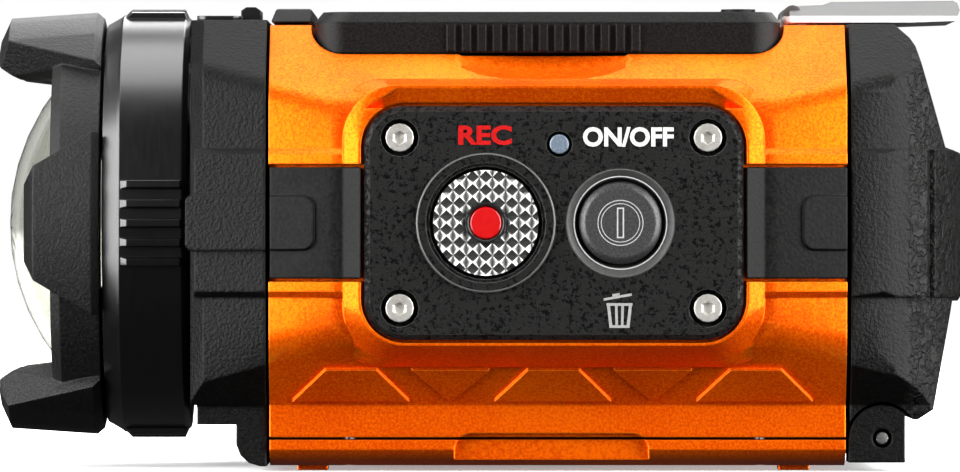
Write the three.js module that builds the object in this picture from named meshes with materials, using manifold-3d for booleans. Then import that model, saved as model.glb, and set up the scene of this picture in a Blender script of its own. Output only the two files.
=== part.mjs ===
// Rugged action camera. Millimetres, +Z up, lens looking along -X, control plate facing -Y.
// The origin is at the bottom centre of the camera, between its feet.
import * as THREE from 'three';
import { mergeVertices } from 'three/addons/utils/BufferGeometryUtils.js';
import { ConvexGeometry } from 'three/addons/geometries/ConvexGeometry.js';
import Module from 'manifold-3d';

// ---- Driving dimensions ----------------------------------------------------------------

// Fits
const GAP = 0.3; // between parts that meet
const RUNNING = 0.08; // between a pin and the bore that turns on it

// Shell, a tube of constant section that runs from front to rear
const LENS_Z = 22.9; // height of the lens axis
const SHELL_FRONT = -19.3;
const SHELL_REAR = 33.8;
const SHELL_TOP = 41.2;
const SHELL_BOTTOM = 3.15;
const WALL_HALF = 30.3; // half width over the side walls beside the plate
const END_WALL_HALF = WALL_HALF - 1.7; // and where the shell meets the housing and the door
const BASE_HALF = WALL_HALF - 5.8; // half width at the base
const TOP_HALF = WALL_HALF - 9.3; // half width at the top
const SHELL_WALL = 2.4;
const FRONT_WALL = 2.3;
const CAVITY_BASE_HALF = BASE_HALF - 3.5; // half width of the cavity where it opens at the base
const CAVITY_TOP = SHELL_TOP - 4.4;

// The whole camera
const DOOR_FRONT = SHELL_REAR + 0.4;
const HALF_LENGTH = DOOR_FRONT + 10.8; // origin to the door's back
const HALF_WIDTH = WALL_HALF + 2.95; // origin to the record button's face

// Belt, the raised band at lens height that runs round the body
const BELT_HALF_HEIGHT = 6.8;
const BELT_RISE = 0.9;
const BELT_CHAMFER = 0.5;
const BAND_HALF_HEIGHT = 5.1; // black inserts set in the belt
const BAND_PROUD = 0.15;
const PAD_HALF_HEIGHT = 2.4; // raised pads that run along the bands
const PAD_RISE = 0.5;

// Rim and control plate on the side
const PLATE_X = 6.85; // centre of the plate
const PLATE_LENGTH = 34.7;
const PLATE_HEIGHT = 21.4;
const PLATE_CORNER = 3.7;
const PLATE_THICK = 2.2;
const PLATE_FACE = WALL_HALF + 2.4; // distance of the plate's face from the middle
const PLATE_BEVEL = 0.5;
const RIM_LENGTH = PLATE_LENGTH + 3.9;
const RIM_HEIGHT = PLATE_HEIGHT + 3.8;
const RIM_CORNER = PLATE_CORNER + 1.3;
const RIM_FACE = PLATE_FACE - 0.4;
const RIM_SLOPE = 1.3; // how far the rim's slopes spread towards the wall
const RIM_LAND = 0.25; // flat ledge left round the plate
const RIM_SIDE_FALL = 1.1; // how far the rim's bevel falls at its front and rear ends
const RIM_BOTTOM_FALL = 2.6; // and along its bottom
const EAVE_DEPTH = 1.1; // how far the rim's top edge overhangs the plate's
const SCREW_SPREAD_X = PLATE_LENGTH / 2 - 3.25; // plate screws, from the plate's centre
const SCREW_SPREAD_Z = PLATE_HEIGHT / 2 - 2.9;
const SCREW_HEAD_R = 1.3;
const SCREW_HOLE_END = WALL_HALF - 1.9; // distance of the blind end from the middle
const SCREW_END = SCREW_HOLE_END + 0.6;
const SCREW_SHANK_R = SCREW_HEAD_R - 0.7;
const COUNTERBORE_R = SCREW_HEAD_R + 0.45;
const COUNTERBORE_DEPTH = 1.1;

// Buttons on the plate
const REC_X = 0.63;
const REC_R = 4.87;
const REC_TRAVEL = 0.8;
const REC_RING_IN = REC_R + 0.63; // raised ring round the record button
const REC_RING_OUT = REC_RING_IN + 0.9;
const REC_RING_RISE = 0.3;
const REC_DOT_R = 1.5;
const REC_WELL_R = REC_DOT_R + 0.45;
const POWER_X = 12.94;
const POWER_R = 3.79;
const POWER_FACE = PLATE_FACE + 0.25;
const POWER_TRAVEL = 0.6;
const POWER_WELL_R = POWER_R + 1.21;
const LAMP_X = 7.35;
const LAMP_Z = 30.1;
const LAMP_R = 0.9;
const LAMP_END = WALL_HALF - 2.1;
const BUTTON_HOLE_END = WALL_HALF - 4.3;

// Top display frame and what it holds
const FRAME_FRONT = SHELL_FRONT + 4.1;
const FRAME_REAR = SHELL_REAR - 5.9;
const FRAME_HALF = TOP_HALF + 3;
const FRAME_BOTTOM = SHELL_TOP - 2.6;
const FRAME_TOP = SHELL_TOP + 1.2;
const FRAME_CORNER = 3;
const WINDOW_X = 3.6;
const WINDOW_LENGTH = 33;
const WINDOW_WIDTH = 26;
const WINDOW_THICK = 1;
const SCREEN_LENGTH = 28;
const SCREEN_WIDTH = 21;
const GRIP_RIBS = 13;
const RIB_PITCH = 1.42;
const RIB_WIDTH = 0.75;
const RIB_RISE = 0.4;
const GRIP_X = 5.95;
const KEY_X = FRAME_REAR - 3.7; // row of four display keys
const KEY_R = 1.9;
const KEY_PITCH = 8;
const KEY_PROUD = 0.45;
const KEY_TRAVEL = 0.5;

// Front housing
const HOUSING_FRONT = SHELL_FRONT - 7.3;
const HOUSING_BOTTOM = 4.3;
const HOUSING_TOP = SHELL_TOP + 0.5;
const BORE_R = 16.8;
const BUMPER_FRONT = SHELL_FRONT - 3.1;
const BUMPER_TOP = 5.9;
const BUMPER_BOTTOM = 0.45;

// Lens port, everything that twists off with the lens ring
const RING_FRONT = -35;
const RING_REAR = -27.1;
const RING_R = BORE_R + 2.9;
const RING_INNER_R = RING_R - 2.9;
const SPIGOT_R = BORE_R - 1.6;
const SPIGOT_WALL = 1.4;
const SPIGOT_END = -24.4;
const LUG_RISE = 1;
const LUG_ARC = 34; // degrees round the bayonet that one lug covers
const MOUNT_OUTER_R = BORE_R + 0.8;
const MOUNT_THICK = 1.1;
const LOCK_TWIST = 30; // degrees from locked to free
const GUARD_FRONT = -39.9;
const GUARD_R = RING_R - 1;
const CLAW_TIP = GUARD_FRONT - 5.1;
const DOME_APEX = GUARD_FRONT - 4.4;
const DOME_WALL = 1;
const DOME_FLANGE_R = GUARD_R - 2.5;
const DOME_EDGE_R = DOME_FLANGE_R - 0.9; // where the dome meets its flange
const DOME_FLANGE_FRONT = -37.6;
const DOME_FLANGE_REAR = -36.2;
const DOME_R = capRadius(DOME_EDGE_R, DOME_FLANGE_FRONT - DOME_APEX);

// Lens module
const BARREL_R = BORE_R - 4;
const BARREL_FRONT = -33;
const BARREL_REAR = -8.3;
const LENS_R = BARREL_R - 2.3;
const LENS_BULGE = 4;
const SENSOR_HALF = 9;

// Rear door, its hinge and the latch lever
const HINGE_X = DOOR_FRONT + 3;
const HINGE_Z = 3.05;
const HINGE_PIN_R = 0.6;
const KNUCKLE_R = 2.4;
const KNUCKLE_HALF = 16.5;
const EAR_R = 3.05;
const EAR_BOTTOM = 0.8;
const EAR_REAR = HINGE_X + 2.1;
const EAR_OUTER = BASE_HALF - 0.3;
const LEVER_X = DOOR_FRONT - 4.85; // pivot of the latch lever
const LEVER_Z = SHELL_TOP + 1.25;
const LEVER_PIN_R = 0.45;
const LEVER_NOSE_R = 0.85;
const LEVER_TOP = LEVER_Z + 1.3;
const LEVER_UNDER = LEVER_Z - 0.8;
const LEVER_HALF = 11;
const BRACKET_HALF = 3;

// Base and the parts inside
const BASE_TOP = 2.9;
const BASE_BOTTOM = 0.5;
const BASE_EDGE_HALF = BASE_HALF - 3;
const FOOT_LENGTH = 2.8;
const FOOT_WIDTH = 6;
const TRIPOD_X = 6.7;
const TRIPOD_R = 2.6; // minor radius of a 1/4 inch tripod thread
const INSERT_R = 4.6;
const BASE_SCREW_X = [SHELL_FRONT + 7.3, SHELL_REAR - 7.8];
const BASE_SCREW_Y = BASE_HALF - 4.5;
const BOSS_TOP = 8.6;
const BOSS_HALF = 2;
const BATTERY_LENGTH = 35.3;
const BATTERY_REAR = SHELL_REAR - 3.3;
const BATTERY_FRONT = BATTERY_REAR - BATTERY_LENGTH;
const BATTERY_HALF = 16.5;
const BATTERY_BOTTOM = 9.4;
const BATTERY_TOP = 17.6;
const BOARD_Z = 20.2;
const BOARD_THICK = 1;
const BOARD_TOP = BOARD_Z + BOARD_THICK;
const BOARD_REAR = SHELL_REAR - 3.8;
const BOARD_HALF = WALL_HALF - 6.3;
const CARD_INNER = 8; // sides of the card slot, from the middle
const CARD_OUTER = 21;
const EMBLEM_PITCH = 18.6; // from one raised trapezoid to the next

// Facets round a full turn
const FINE = 36;
const COARSE = 16;

// Radius of the sphere whose cap has a given edge radius and height.
function capRadius(edge, height) {
  return (edge ** 2 + height ** 2) / (2 * height);
}

// ---- Solid helpers ---------------------------------------------------------------------

const wasm = await Module();
wasm.setup();

// A closed three.js geometry as a solid, ready to be joined or cut.
function solid(geometry) {
  const bare = geometry.clone();
  for (const name of Object.keys(bare.attributes)) {
    if (name !== 'position') bare.deleteAttribute(name);
  }
  const merged = mergeVertices(bare, 1e-4);
  const index = merged.index.array;
  const triVerts = [];
  for (let i = 0; i < index.length; i += 3) {
    const [a, b, c] = [index[i], index[i + 1], index[i + 2]];
    if (a !== b && b !== c && c !== a) triVerts.push(a, b, c);
  }
  return new wasm.Manifold(new wasm.Mesh({
    numProp: 3,
    vertProperties: new Float32Array(merged.attributes.position.array),
    triVerts: new Uint32Array(triVerts),
  }));
}

function join(solids) {
  return solids.reduce((whole, next) => whole.add(next));
}

function cut(body, tools) {
  return body.subtract(join(tools));
}

function geometryOf(body) {
  const { vertProperties, triVerts } = body.getMesh();
  const geometry = new THREE.BufferGeometry();
  geometry.setAttribute('position', new THREE.BufferAttribute(vertProperties, 3));
  geometry.setIndex(new THREE.BufferAttribute(triVerts, 1));
  geometry.computeVertexNormals();
  return geometry;
}

function box(x0, x1, y0, y1, z0, z1) {
  const geometry = new THREE.BoxGeometry(x1 - x0, y1 - y0, z1 - z0);
  return solid(geometry.translate((x0 + x1) / 2, (y0 + y1) / 2, (z0 + z1) / 2));
}

function outline(points) {
  if (points instanceof THREE.Shape) return points;
  return new THREE.Shape(points.map(([u, v]) => new THREE.Vector2(u, v)));
}

// An outline pushed straight along one axis. Its points are (y, z) for 'x', (x, z) for 'y'
// and (x, y) for 'z'.
function prism(axis, points, low, high, segments = 8) {
  const options = { depth: high - low, bevelEnabled: false, curveSegments: segments };
  const geometry = new THREE.ExtrudeGeometry(outline(points), options);
  const turn = new THREE.Matrix4();
  const [x, y, z] = [new THREE.Vector3(1, 0, 0), new THREE.Vector3(0, 1, 0), new THREE.Vector3(0, 0, 1)];
  if (axis === 'x') turn.makeBasis(y, z, x).setPosition(low, 0, 0);
  if (axis === 'y') turn.makeBasis(x, z, y.clone().negate()).setPosition(0, high, 0);
  if (axis === 'z') turn.setPosition(0, 0, low);
  return solid(geometry.applyMatrix4(turn));
}

// A cylinder along one axis, centred on the other two coordinates.
function rod(axis, u, v, radius, low, high, segments = COARSE) {
  const geometry = new THREE.CylinderGeometry(radius, radius, high - low, segments);
  const middle = (low + high) / 2;
  if (axis === 'x') geometry.rotateZ(-Math.PI / 2).translate(middle, u, v);
  if (axis === 'y') geometry.translate(u, middle, v);
  if (axis === 'z') geometry.rotateX(Math.PI / 2).translate(u, v, middle);
  return solid(geometry);
}

// A closed (place, radius) profile turned about the lens axis.
function turned(profile, segments = FINE) {
  const area = THREE.ShapeUtils.area(profile.map(([x, r]) => new THREE.Vector2(r, x)));
  const points = (area < 0 ? [...profile].reverse() : profile).map(([x, r]) => new THREE.Vector2(r, x));
  const geometry = new THREE.LatheGeometry([...points, points[0]], segments);
  return solid(geometry.rotateZ(-Math.PI / 2).translate(0, 0, LENS_Z));
}

// The smallest convex solid round a set of points.
function hull(points) {
  return solid(new ConvexGeometry(points.map((p) => new THREE.Vector3(...p))));
}

function roundedRect(u, v, width, height, radius) {
  const [w, h] = [width / 2, height / 2];
  const shape = new THREE.Shape();
  shape.absarc(u + w - radius, v + h - radius, radius, 0, Math.PI / 2);
  shape.absarc(u - w + radius, v + h - radius, radius, Math.PI / 2, Math.PI);
  shape.absarc(u - w + radius, v - h + radius, radius, Math.PI, Math.PI * 1.5);
  shape.absarc(u + w - radius, v - h + radius, radius, Math.PI * 1.5, Math.PI * 2);
  return shape;
}

// A rounded rectangle on the side whose outer face is smaller than its foot.
function sidePad(low, high, foot, face, segments = 5) {
  const ring = (size, y) => roundedRect(...size).getPoints(segments).map((p) => [p.x, y, p.y]);
  return hull([...ring(foot, low), ...ring(face, high)]);
}

// A closed convex outline with its sides moved inwards by a distance. Sides that vanish are dropped.
function inset(points, distance) {
  const far = 2 * HALF_LENGTH;
  let kept = [[-far, -far], [far, -far], [far, far], [-far, far]];
  points.forEach(([u, v], i) => {
    const [s, t] = points[(i + 1) % points.length];
    const length = Math.hypot(s - u, t - v);
    const depth = ([a, b]) => ((s - u) * (b - v) - (t - v) * (a - u)) / length - distance;
    kept = kept.flatMap((p, j) => {
      const q = kept[(j + 1) % kept.length];
      const [d, e] = [depth(p), depth(q)];
      const share = d / (d - e);
      const crossing = d * e < 0 ? [[p[0] + (q[0] - p[0]) * share, p[1] + (q[1] - p[1]) * share]] : [];
      return d >= 0 ? [p, ...crossing] : crossing;
    });
  });
  return kept;
}

const mirrored = (body) => body.mirror([0, 1, 0]);
const bothSides = (body) => body.add(mirrored(body));

// Half outlines are listed from the bottom up, and mirrored to the other side.
function fullSection(half) {
  return [...half, ...half.map(([y, z]) => [-y, z]).reverse()];
}

// ---- Finishes and the assembly ---------------------------------------------------------

const camera = new THREE.Group();

const FINISHES = {
  orange: [0xf07808, 0.35, 0.45],
  black: [0x1c1c1c, 0.6, 0],
  rubber: [0x151515, 0.85, 0],
  silver: [0xd0d0d2, 0.25, 1],
  steel: [0xa8a8a8, 0.35, 1],
  brass: [0xb08d4a, 0.4, 1],
  glass: [0xc8d0d4, 0.05, 0],
  screen: [0x08090c, 0.1, 0],
  board: [0x14502c, 0.6, 0],
  red: [0xe01812, 0.4, 0],
  lamp: [0x8a9aac, 0.3, 0],
  cell: [0x2c3c58, 0.5, 0],
};

function add(name, finish, body) {
  const [color, roughness, metalness] = FINISHES[finish];
  const material = new THREE.MeshStandardMaterial({ color, roughness, metalness });
  const mesh = new THREE.Mesh(geometryOf(body), material);
  mesh.name = name;
  camera.add(mesh);
}

// ---- Body section, shared by the housing, the shell and the door -----------------------

const BASE_EDGE_Z = 6.1; // upper edge of the upright base band
const LOWER_LEAN = 0.88; // how far the lower facet leans out for each millimetre it rises
const UPPER_LEAN = 1.21; // and the upper facet, for each millimetre it falls
const UPPER_ROUND = 1.6; // length taken off each side of the corner over the wall
const ROUND_STEPS = 4;
const TAPER = WALL_HALF - END_WALL_HALF;
const RIM_FRONT = PLATE_X - RIM_LENGTH / 2;
const RIM_REAR = PLATE_X + RIM_LENGTH / 2;

// Half width of the walls at a place along the camera: widest beside the rim.
function wallHalf(x) {
  const front = (RIM_FRONT - RIM_SLOPE - x) / (RIM_FRONT - RIM_SLOPE - SHELL_FRONT);
  const rear = (x - RIM_REAR - RIM_SLOPE) / (SHELL_REAR - RIM_REAR - RIM_SLOPE);
  return WALL_HALF - TAPER * Math.max(0, front, rear);
}

// Points of an arc that rounds a corner, from one side's direction to the other's.
function roundCorner([cy, cz], from, to, length) {
  const points = [];
  for (let i = 0; i <= ROUND_STEPS; i += 1) {
    const t = i / ROUND_STEPS;
    const [a, b] = [(1 - t) ** 2 * length, t ** 2 * length];
    points.push([cy + a * from[0] + b * to[0], cz + a * from[1] + b * to[1]]);
  }
  return points;
}

// The body's section above its base band, where its walls have a given half width.
function bodySection(half, top = SHELL_TOP, topHalf = TOP_HALF) {
  const taper = (WALL_HALF - half) / TAPER;
  const creaseZ = 11.5 - 1.55 * taper;
  const cornerZ = top - (half - topHalf) / UPPER_LEAN;
  const slope = Math.hypot(1, UPPER_LEAN);
  return fullSection([
    [BASE_HALF, BASE_EDGE_Z],
    [BASE_HALF + LOWER_LEAN * (creaseZ - BASE_EDGE_Z), creaseZ],
    [half, 13.7 - 0.6 * taper],
    ...roundCorner([half, cornerZ], [0, -1], [-UPPER_LEAN / slope, 1 / slope], UPPER_ROUND),
    [topHalf, top],
  ]);
}

// A body whose section changes evenly from one place to the next along the camera.
function lofted(places, sectionAt) {
  return hull(places.flatMap((x) => sectionAt(x).map(([y, z]) => [x, y, z])));
}

// The upright band under the body's sloping sides.
function baseBand(front, rear, bottom, half = BASE_HALF) {
  return box(front, rear, -half, half, bottom, BASE_EDGE_Z + 0.1);
}

const SHELL_PLACES = [SHELL_FRONT, RIM_FRONT - RIM_SLOPE, RIM_REAR + RIM_SLOPE, SHELL_REAR];
const MOUTH_SECTION = inset(bodySection(END_WALL_HALF), SHELL_WALL);

// Belt of the body, chamfered along its upper and lower edges.
function belt(places, rise = BELT_RISE, halfHeight = BELT_HALF_HEIGHT, chamfer = BELT_CHAMFER) {
  const side = (x) => {
    const face = wallHalf(x) + rise;
    const foot = face - BELT_RISE - 2;
    const points = [];
    for (const z of [-1, 1]) {
      points.push([-foot, LENS_Z + z * halfHeight], [-face, LENS_Z + z * (halfHeight - chamfer)]);
      points.push([-face + chamfer, LENS_Z + z * halfHeight]);
    }
    return points;
  };
  return bothSides(lofted(places, side));
}

const BAND_RISE = BELT_RISE + BAND_PROUD;
const PAD_FACE_RISE = BAND_RISE + PAD_RISE;
const PLATE_BACK = PLATE_FACE - PLATE_THICK;
const POCKET_FLOOR = PLATE_BACK - GAP;

// ---- Shell -----------------------------------------------------------------------------

// Raised trapezoids and triangles that alternate along the sloping lower side.
function emblems() {
  const lean = Math.atan(LOWER_LEAN);
  const [foot, head] = [0.7, 4.6];
  const trapezoid = [[0, foot], [10.8, foot], [7.8, head], [3.1, head]];
  const triangle = [[11, head], [18.2, head], [14.6, foot]];
  const shapes = [];
  for (let x = SHELL_FRONT + 2.1; x + EMBLEM_PITCH / 2 < SHELL_REAR; x += EMBLEM_PITCH) {
    shapes.push(trapezoid.map(([u, v]) => [x + u, v]));
    if (x + EMBLEM_PITCH < SHELL_REAR) shapes.push(triangle.map(([u, v]) => [x + u, v]));
  }
  const tilt = new THREE.Matrix4().makeRotationX(Math.PI / 2 + lean);
  tilt.premultiply(new THREE.Matrix4().makeTranslation(0, -BASE_HALF, BASE_EDGE_Z));
  return shapes.map((points) => {
    const geometry = new THREE.ExtrudeGeometry(outline(points), { depth: 0.9, bevelEnabled: false });
    return solid(geometry.translate(0, 0, -0.6).applyMatrix4(tilt));
  });
}

// Room in the shell's side for a band insert, or with no clearance the space of the insert.
function bandRoom(outerEnd, plateEnd, clearance) {
  const half = BAND_HALF_HEIGHT + clearance;
  const kink = outerEnd < plateEnd ? RIM_FRONT - RIM_SLOPE : RIM_REAR + RIM_SLOPE;
  return lofted([outerEnd, kink, plateEnd], (x) => {
    const foot = wallHalf(x) - 0.2 - clearance;
    return [-foot, -HALF_WIDTH].flatMap((y) => [[y, LENS_Z - half], [y, LENS_Z + half]]);
  });
}

// How deep the rim's outer edge lies at a point of its outline: level with the face along its
// top, and deepest along its bottom.
function rimEdgeDepth(point) {
  const [u, v] = [Math.abs(point.x - PLATE_X), Math.abs(point.y - LENS_Z)];
  const along = Math.max(u - RIM_LENGTH / 2 + RIM_CORNER, 0);
  const across = Math.max(v - RIM_HEIGHT / 2 + RIM_CORNER, 0);
  const turn = across / Math.hypot(along, across);
  const fall = point.y > LENS_Z ? 0 : RIM_BOTTOM_FALL;
  return -RIM_FACE + RIM_SIDE_FALL + (fall - RIM_SIDE_FALL) * turn;
}

// Room under the rim's top edge, so that the edge overhangs the plate like an eave.
function eaveRoom() {
  const [low, high] = [LENS_Z + PLATE_HEIGHT / 2 - RIM_LAND, LENS_Z + RIM_HEIGHT / 2 - RIM_LAND];
  const ends = [[PLATE_LENGTH / 2, low, EAVE_DEPTH], [RIM_LENGTH / 2 - RIM_CORNER, high, 0]];
  return hull(ends.flatMap(([half, z, depth]) => [-half, half].flatMap((x) => [
    [PLATE_X + x, -RIM_FACE + depth, z], [PLATE_X + x, -HALF_WIDTH, z],
  ])));
}

function shell() {
  const cavityPlaces = [SHELL_FRONT + FRONT_WALL, ...SHELL_PLACES.slice(1), SHELL_REAR + 1];
  const cavity = lofted(cavityPlaces, (x) => inset(bodySection(wallHalf(x)), SHELL_WALL))
    .intersect(box(-HALF_LENGTH, HALF_LENGTH, -HALF_WIDTH, HALF_WIDTH, -1, CAVITY_TOP));
  const frameSeat = roundedRect(
    (FRAME_FRONT + FRAME_REAR) / 2, 0,
    FRAME_REAR - FRAME_FRONT + 2 * GAP, 2 * (FRAME_HALF + GAP), FRAME_CORNER,
  );
  const rimSize = [PLATE_X, LENS_Z, RIM_LENGTH, RIM_HEIGHT, RIM_CORNER];
  const rimFoot = [PLATE_X, LENS_Z, RIM_LENGTH + 2 * RIM_SLOPE, RIM_HEIGHT + RIM_SLOPE, RIM_CORNER];
  const ledge = [
    PLATE_X, LENS_Z, PLATE_LENGTH + 2 * (GAP + RIM_LAND), PLATE_HEIGHT + 2 * (GAP + RIM_LAND),
    PLATE_CORNER + GAP + RIM_LAND,
  ];
  const rim = bothSides(join([
    sidePad(-WALL_HALF + 2, RIM_BOTTOM_FALL - RIM_FACE, rimFoot, rimSize),
    hull([
      ...roundedRect(...ledge).getPoints(5).map((p) => [p.x, -RIM_FACE, p.y]),
      ...roundedRect(...rimSize).getPoints(5).map((p) => [p.x, rimEdgeDepth(p), p.y]),
      ...roundedRect(...rimSize).getPoints(5).map((p) => [p.x, 2 - WALL_HALF, p.y]),
    ]),
  ]));
  const plateSeat = roundedRect(
    PLATE_X, LENS_Z, PLATE_LENGTH + 2 * GAP, PLATE_HEIGHT + 2 * GAP, PLATE_CORNER + GAP,
  );
  const scoop = solid(new THREE.SphereGeometry(1, 16, 8)
    .scale(10.6, 2.6, 4.2)
    .rotateX(-0.88)
    .translate(GRIP_X, -FRAME_HALF - 1.9, FRAME_BOTTOM + 0.6));
  const bosses = [];
  const bossHoles = [];
  for (const x of BASE_SCREW_X) {
    bosses.push(box(x - BOSS_HALF, x + BOSS_HALF, BASE_SCREW_Y - 1.9, BASE_HALF - 1, SHELL_BOTTOM, BOSS_TOP));
    bossHoles.push(rod('z', x, BASE_SCREW_Y, SCREW_SHANK_R + GAP, 0, BOSS_TOP - 1.2, 12));
  }
  const outside = join([
    lofted(SHELL_PLACES, (x) => bodySection(wallHalf(x))),
    baseBand(SHELL_FRONT, SHELL_REAR, SHELL_BOTTOM),
    belt(SHELL_PLACES),
    rim,
    bothSides(join(emblems())),
  ]).intersect(box(SHELL_FRONT, SHELL_REAR, -HALF_WIDTH, HALF_WIDTH, SHELL_BOTTOM, SHELL_TOP));
  const hollow = cut(outside, [
    cavity,
    box(
      SHELL_FRONT + FRONT_WALL, SHELL_REAR - 3,
      -CAVITY_BASE_HALF, CAVITY_BASE_HALF, 0, BASE_EDGE_Z + 4,
    ),
  ]);
  return cut(hollow.add(bothSides(join(bosses))), [
    bothSides(join(bossHoles)),
    prism('z', frameSeat, FRAME_BOTTOM - GAP, SHELL_TOP + 1, 4),
    box(WINDOW_X - 16, KEY_X + 2.6, -TOP_HALF + 2.5, TOP_HALF - 2.5, CAVITY_TOP - 1, SHELL_TOP),
    bothSides(prism('y', plateSeat, -HALF_WIDTH, -POCKET_FLOOR, 5)),
    bothSides(eaveRoom()),
    bothSides(scoop),
    turned([
      [SHELL_FRONT - 1, 0], [SHELL_FRONT - 1, BARREL_R + GAP],
      [SHELL_FRONT + FRONT_WALL + 1, BARREL_R + GAP], [SHELL_FRONT + FRONT_WALL + 1, 0],
    ]),
    bothSides(bandRoom(SHELL_FRONT - 1, PLATE_X - PLATE_LENGTH / 2 + 1, GAP)),
    bothSides(bandRoom(SHELL_REAR + 1, PLATE_X + PLATE_LENGTH / 2 - 1, GAP)),
    rod('y', REC_X, LENS_Z, REC_R + 0.8, -HALF_WIDTH, -BUTTON_HOLE_END),
    rod('y', POWER_X, LENS_Z, POWER_R + 0.8, -HALF_WIDTH, -BUTTON_HOLE_END),
    rod('y', LAMP_X, LAMP_Z, LAMP_R + GAP, -HALF_WIDTH, -BUTTON_HOLE_END, 16),
    ...plateScrews().map(([x, z]) => (
      rod('y', x, z, SCREW_SHANK_R + GAP, -HALF_WIDTH, -SCREW_HOLE_END, 12)
    )),
    bothSides(baseRecess()),
  ]);
}

// Finger recess in the lower edge, shared by the shell and the base plate.
function baseRecess() {
  const recess = roundedRect(TRIPOD_X, 1.2, 18, 4.6, 1.6);
  return prism('y', recess, -BASE_HALF - 1, -BASE_HALF + 1.1, 4);
}

function plateScrews() {
  const places = [];
  for (const x of [-1, 1]) {
    places.push([PLATE_X + x * SCREW_SPREAD_X, LENS_Z + SCREW_SPREAD_Z]);
    places.push([PLATE_X + x * SCREW_SPREAD_X, LENS_Z - SCREW_SPREAD_Z]);
  }
  return places;
}

// Black insert in the belt: flat along the belt, up the rim's slope, then up its bevel,
// with a raised pad at the end that meets the housing or the door.
function bandInsert(outerEnd, plateEnd) {
  const toPlate = Math.sign(plateEnd - outerEnd);
  const rimEdge = PLATE_X - toPlate * RIM_LENGTH / 2;
  const slopeFoot = rimEdge - toPlate * RIM_SLOPE;
  const flat = (x, face) => [
    [-WALL_HALF + 4, LENS_Z - BAND_HALF_HEIGHT], [-face, LENS_Z - BAND_HALF_HEIGHT],
    [-face, LENS_Z + BAND_HALF_HEIGHT], [-WALL_HALF + 4, LENS_Z + BAND_HALF_HEIGHT],
  ];
  const along = lofted([outerEnd, slopeFoot], (x) => flat(x, wallHalf(x) + BAND_RISE));
  const faces = new Map([
    [slopeFoot, WALL_HALF + BAND_RISE],
    [rimEdge, RIM_FACE - RIM_SIDE_FALL + BAND_PROUD],
    [plateEnd, RIM_FACE + BAND_PROUD],
  ]);
  const rising = join([[slopeFoot, rimEdge], [rimEdge, plateEnd]].map((ends) => (
    lofted(ends, (x) => flat(x, faces.get(x)))
  )));
  return join([along, rising, endPad(outerEnd, 4)]).intersect(bandRoom(outerEnd, plateEnd, 0));
}

// The pad that crosses a joint in the belt, reaching a length to each side of a place.
function endPad(x, length) {
  const size = (less) => [x, LENS_Z, 2 * (length - less), 2 * (PAD_HALF_HEIGHT - less), 1];
  const block = sidePad(-WALL_HALF + 8, -HALF_WIDTH, size(-0.3), size(0), 3);
  const reach = length + 1;
  const places = [x - reach, ...SHELL_PLACES, x + reach].filter((p) => Math.abs(p - x) <= reach);
  const limit = lofted(places, (p) => [
    [-wallHalf(p) + 3, 0], [-wallHalf(p) + 3, HALF_LENGTH],
    [-wallHalf(p) - PAD_FACE_RISE, 0], [-wallHalf(p) - PAD_FACE_RISE, HALF_LENGTH],
  ]);
  return block.intersect(limit);
}

// ---- Side pieces -----------------------------------------------------------------------

// The plate's outline, drawn in by a distance.
function plateSize(less) {
  return [PLATE_X, LENS_Z, PLATE_LENGTH - 2 * less, PLATE_HEIGHT - 2 * less, PLATE_CORNER - less];
}

function controlPlate() {
  const hole = -PLATE_BACK + 0.5;
  const slab = sidePad(-PLATE_FACE + PLATE_BEVEL, -PLATE_FACE, plateSize(0), plateSize(PLATE_BEVEL))
    .add(prism('y', roundedRect(...plateSize(0)), -PLATE_FACE + PLATE_BEVEL, -PLATE_BACK, 6));
  const disc = rod('y', REC_X, LENS_Z, REC_RING_OUT, -PLATE_FACE - REC_RING_RISE, -PLATE_FACE + 1, FINE);
  const ring = cut(disc, [rod('y', REC_X, LENS_Z, REC_RING_IN, -HALF_WIDTH, -PLATE_FACE + 2, FINE)]);
  return cut(slab.add(ring), [
    rod('y', REC_X, LENS_Z, REC_R + GAP, -HALF_WIDTH, hole, FINE),
    rod('y', POWER_X, LENS_Z, POWER_R + GAP, -HALF_WIDTH, hole, FINE),
    rod('y', POWER_X, LENS_Z, POWER_WELL_R, -HALF_WIDTH, -PLATE_FACE + 0.8, FINE),
    rod('y', LAMP_X, LAMP_Z, LAMP_R + GAP, -HALF_WIDTH, hole, 16),
    ...plateScrews().flatMap(([x, z]) => [
      rod('y', x, z, COUNTERBORE_R, -HALF_WIDTH, -PLATE_FACE + COUNTERBORE_DEPTH, COARSE),
      rod('y', x, z, SCREW_SHANK_R + GAP, -HALF_WIDTH, hole, 12),
    ]),
  ]);
}

function plateScrew(x, z) {
  const seat = -PLATE_FACE + COUNTERBORE_DEPTH - GAP;
  return cut(rod('y', x, z, SCREW_HEAD_R, -PLATE_FACE + 0.1, seat, COARSE)
    .add(rod('y', x, z, SCREW_SHANK_R, seat - 0.1, -SCREW_END, 12)), [
    rod('y', x, z, 0.62, -HALF_WIDTH, -PLATE_FACE + 0.5, 6),
  ]);
}

// Grip panel on the far side, in the place of the control plate: a pad with upright ridges.
function gripPanel() {
  const body = sidePad(PLATE_FACE - PLATE_BEVEL, PLATE_FACE, plateSize(0), plateSize(PLATE_BEVEL))
    .add(prism('y', roundedRect(...plateSize(0)), PLATE_BACK, PLATE_FACE - PLATE_BEVEL, 6));
  const ridges = [];
  for (let i = -4; i <= 4; i += 1) {
    const x = PLATE_X + i * 3;
    const foot = [x, LENS_Z, 1.7, PLATE_HEIGHT - 5, 0.8];
    const face = [x, LENS_Z, 0.9, PLATE_HEIGHT - 6, 0.4];
    ridges.push(sidePad(PLATE_FACE - 0.4, HALF_WIDTH, foot, face, 1));
  }
  return join([body, ...ridges]);
}

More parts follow.
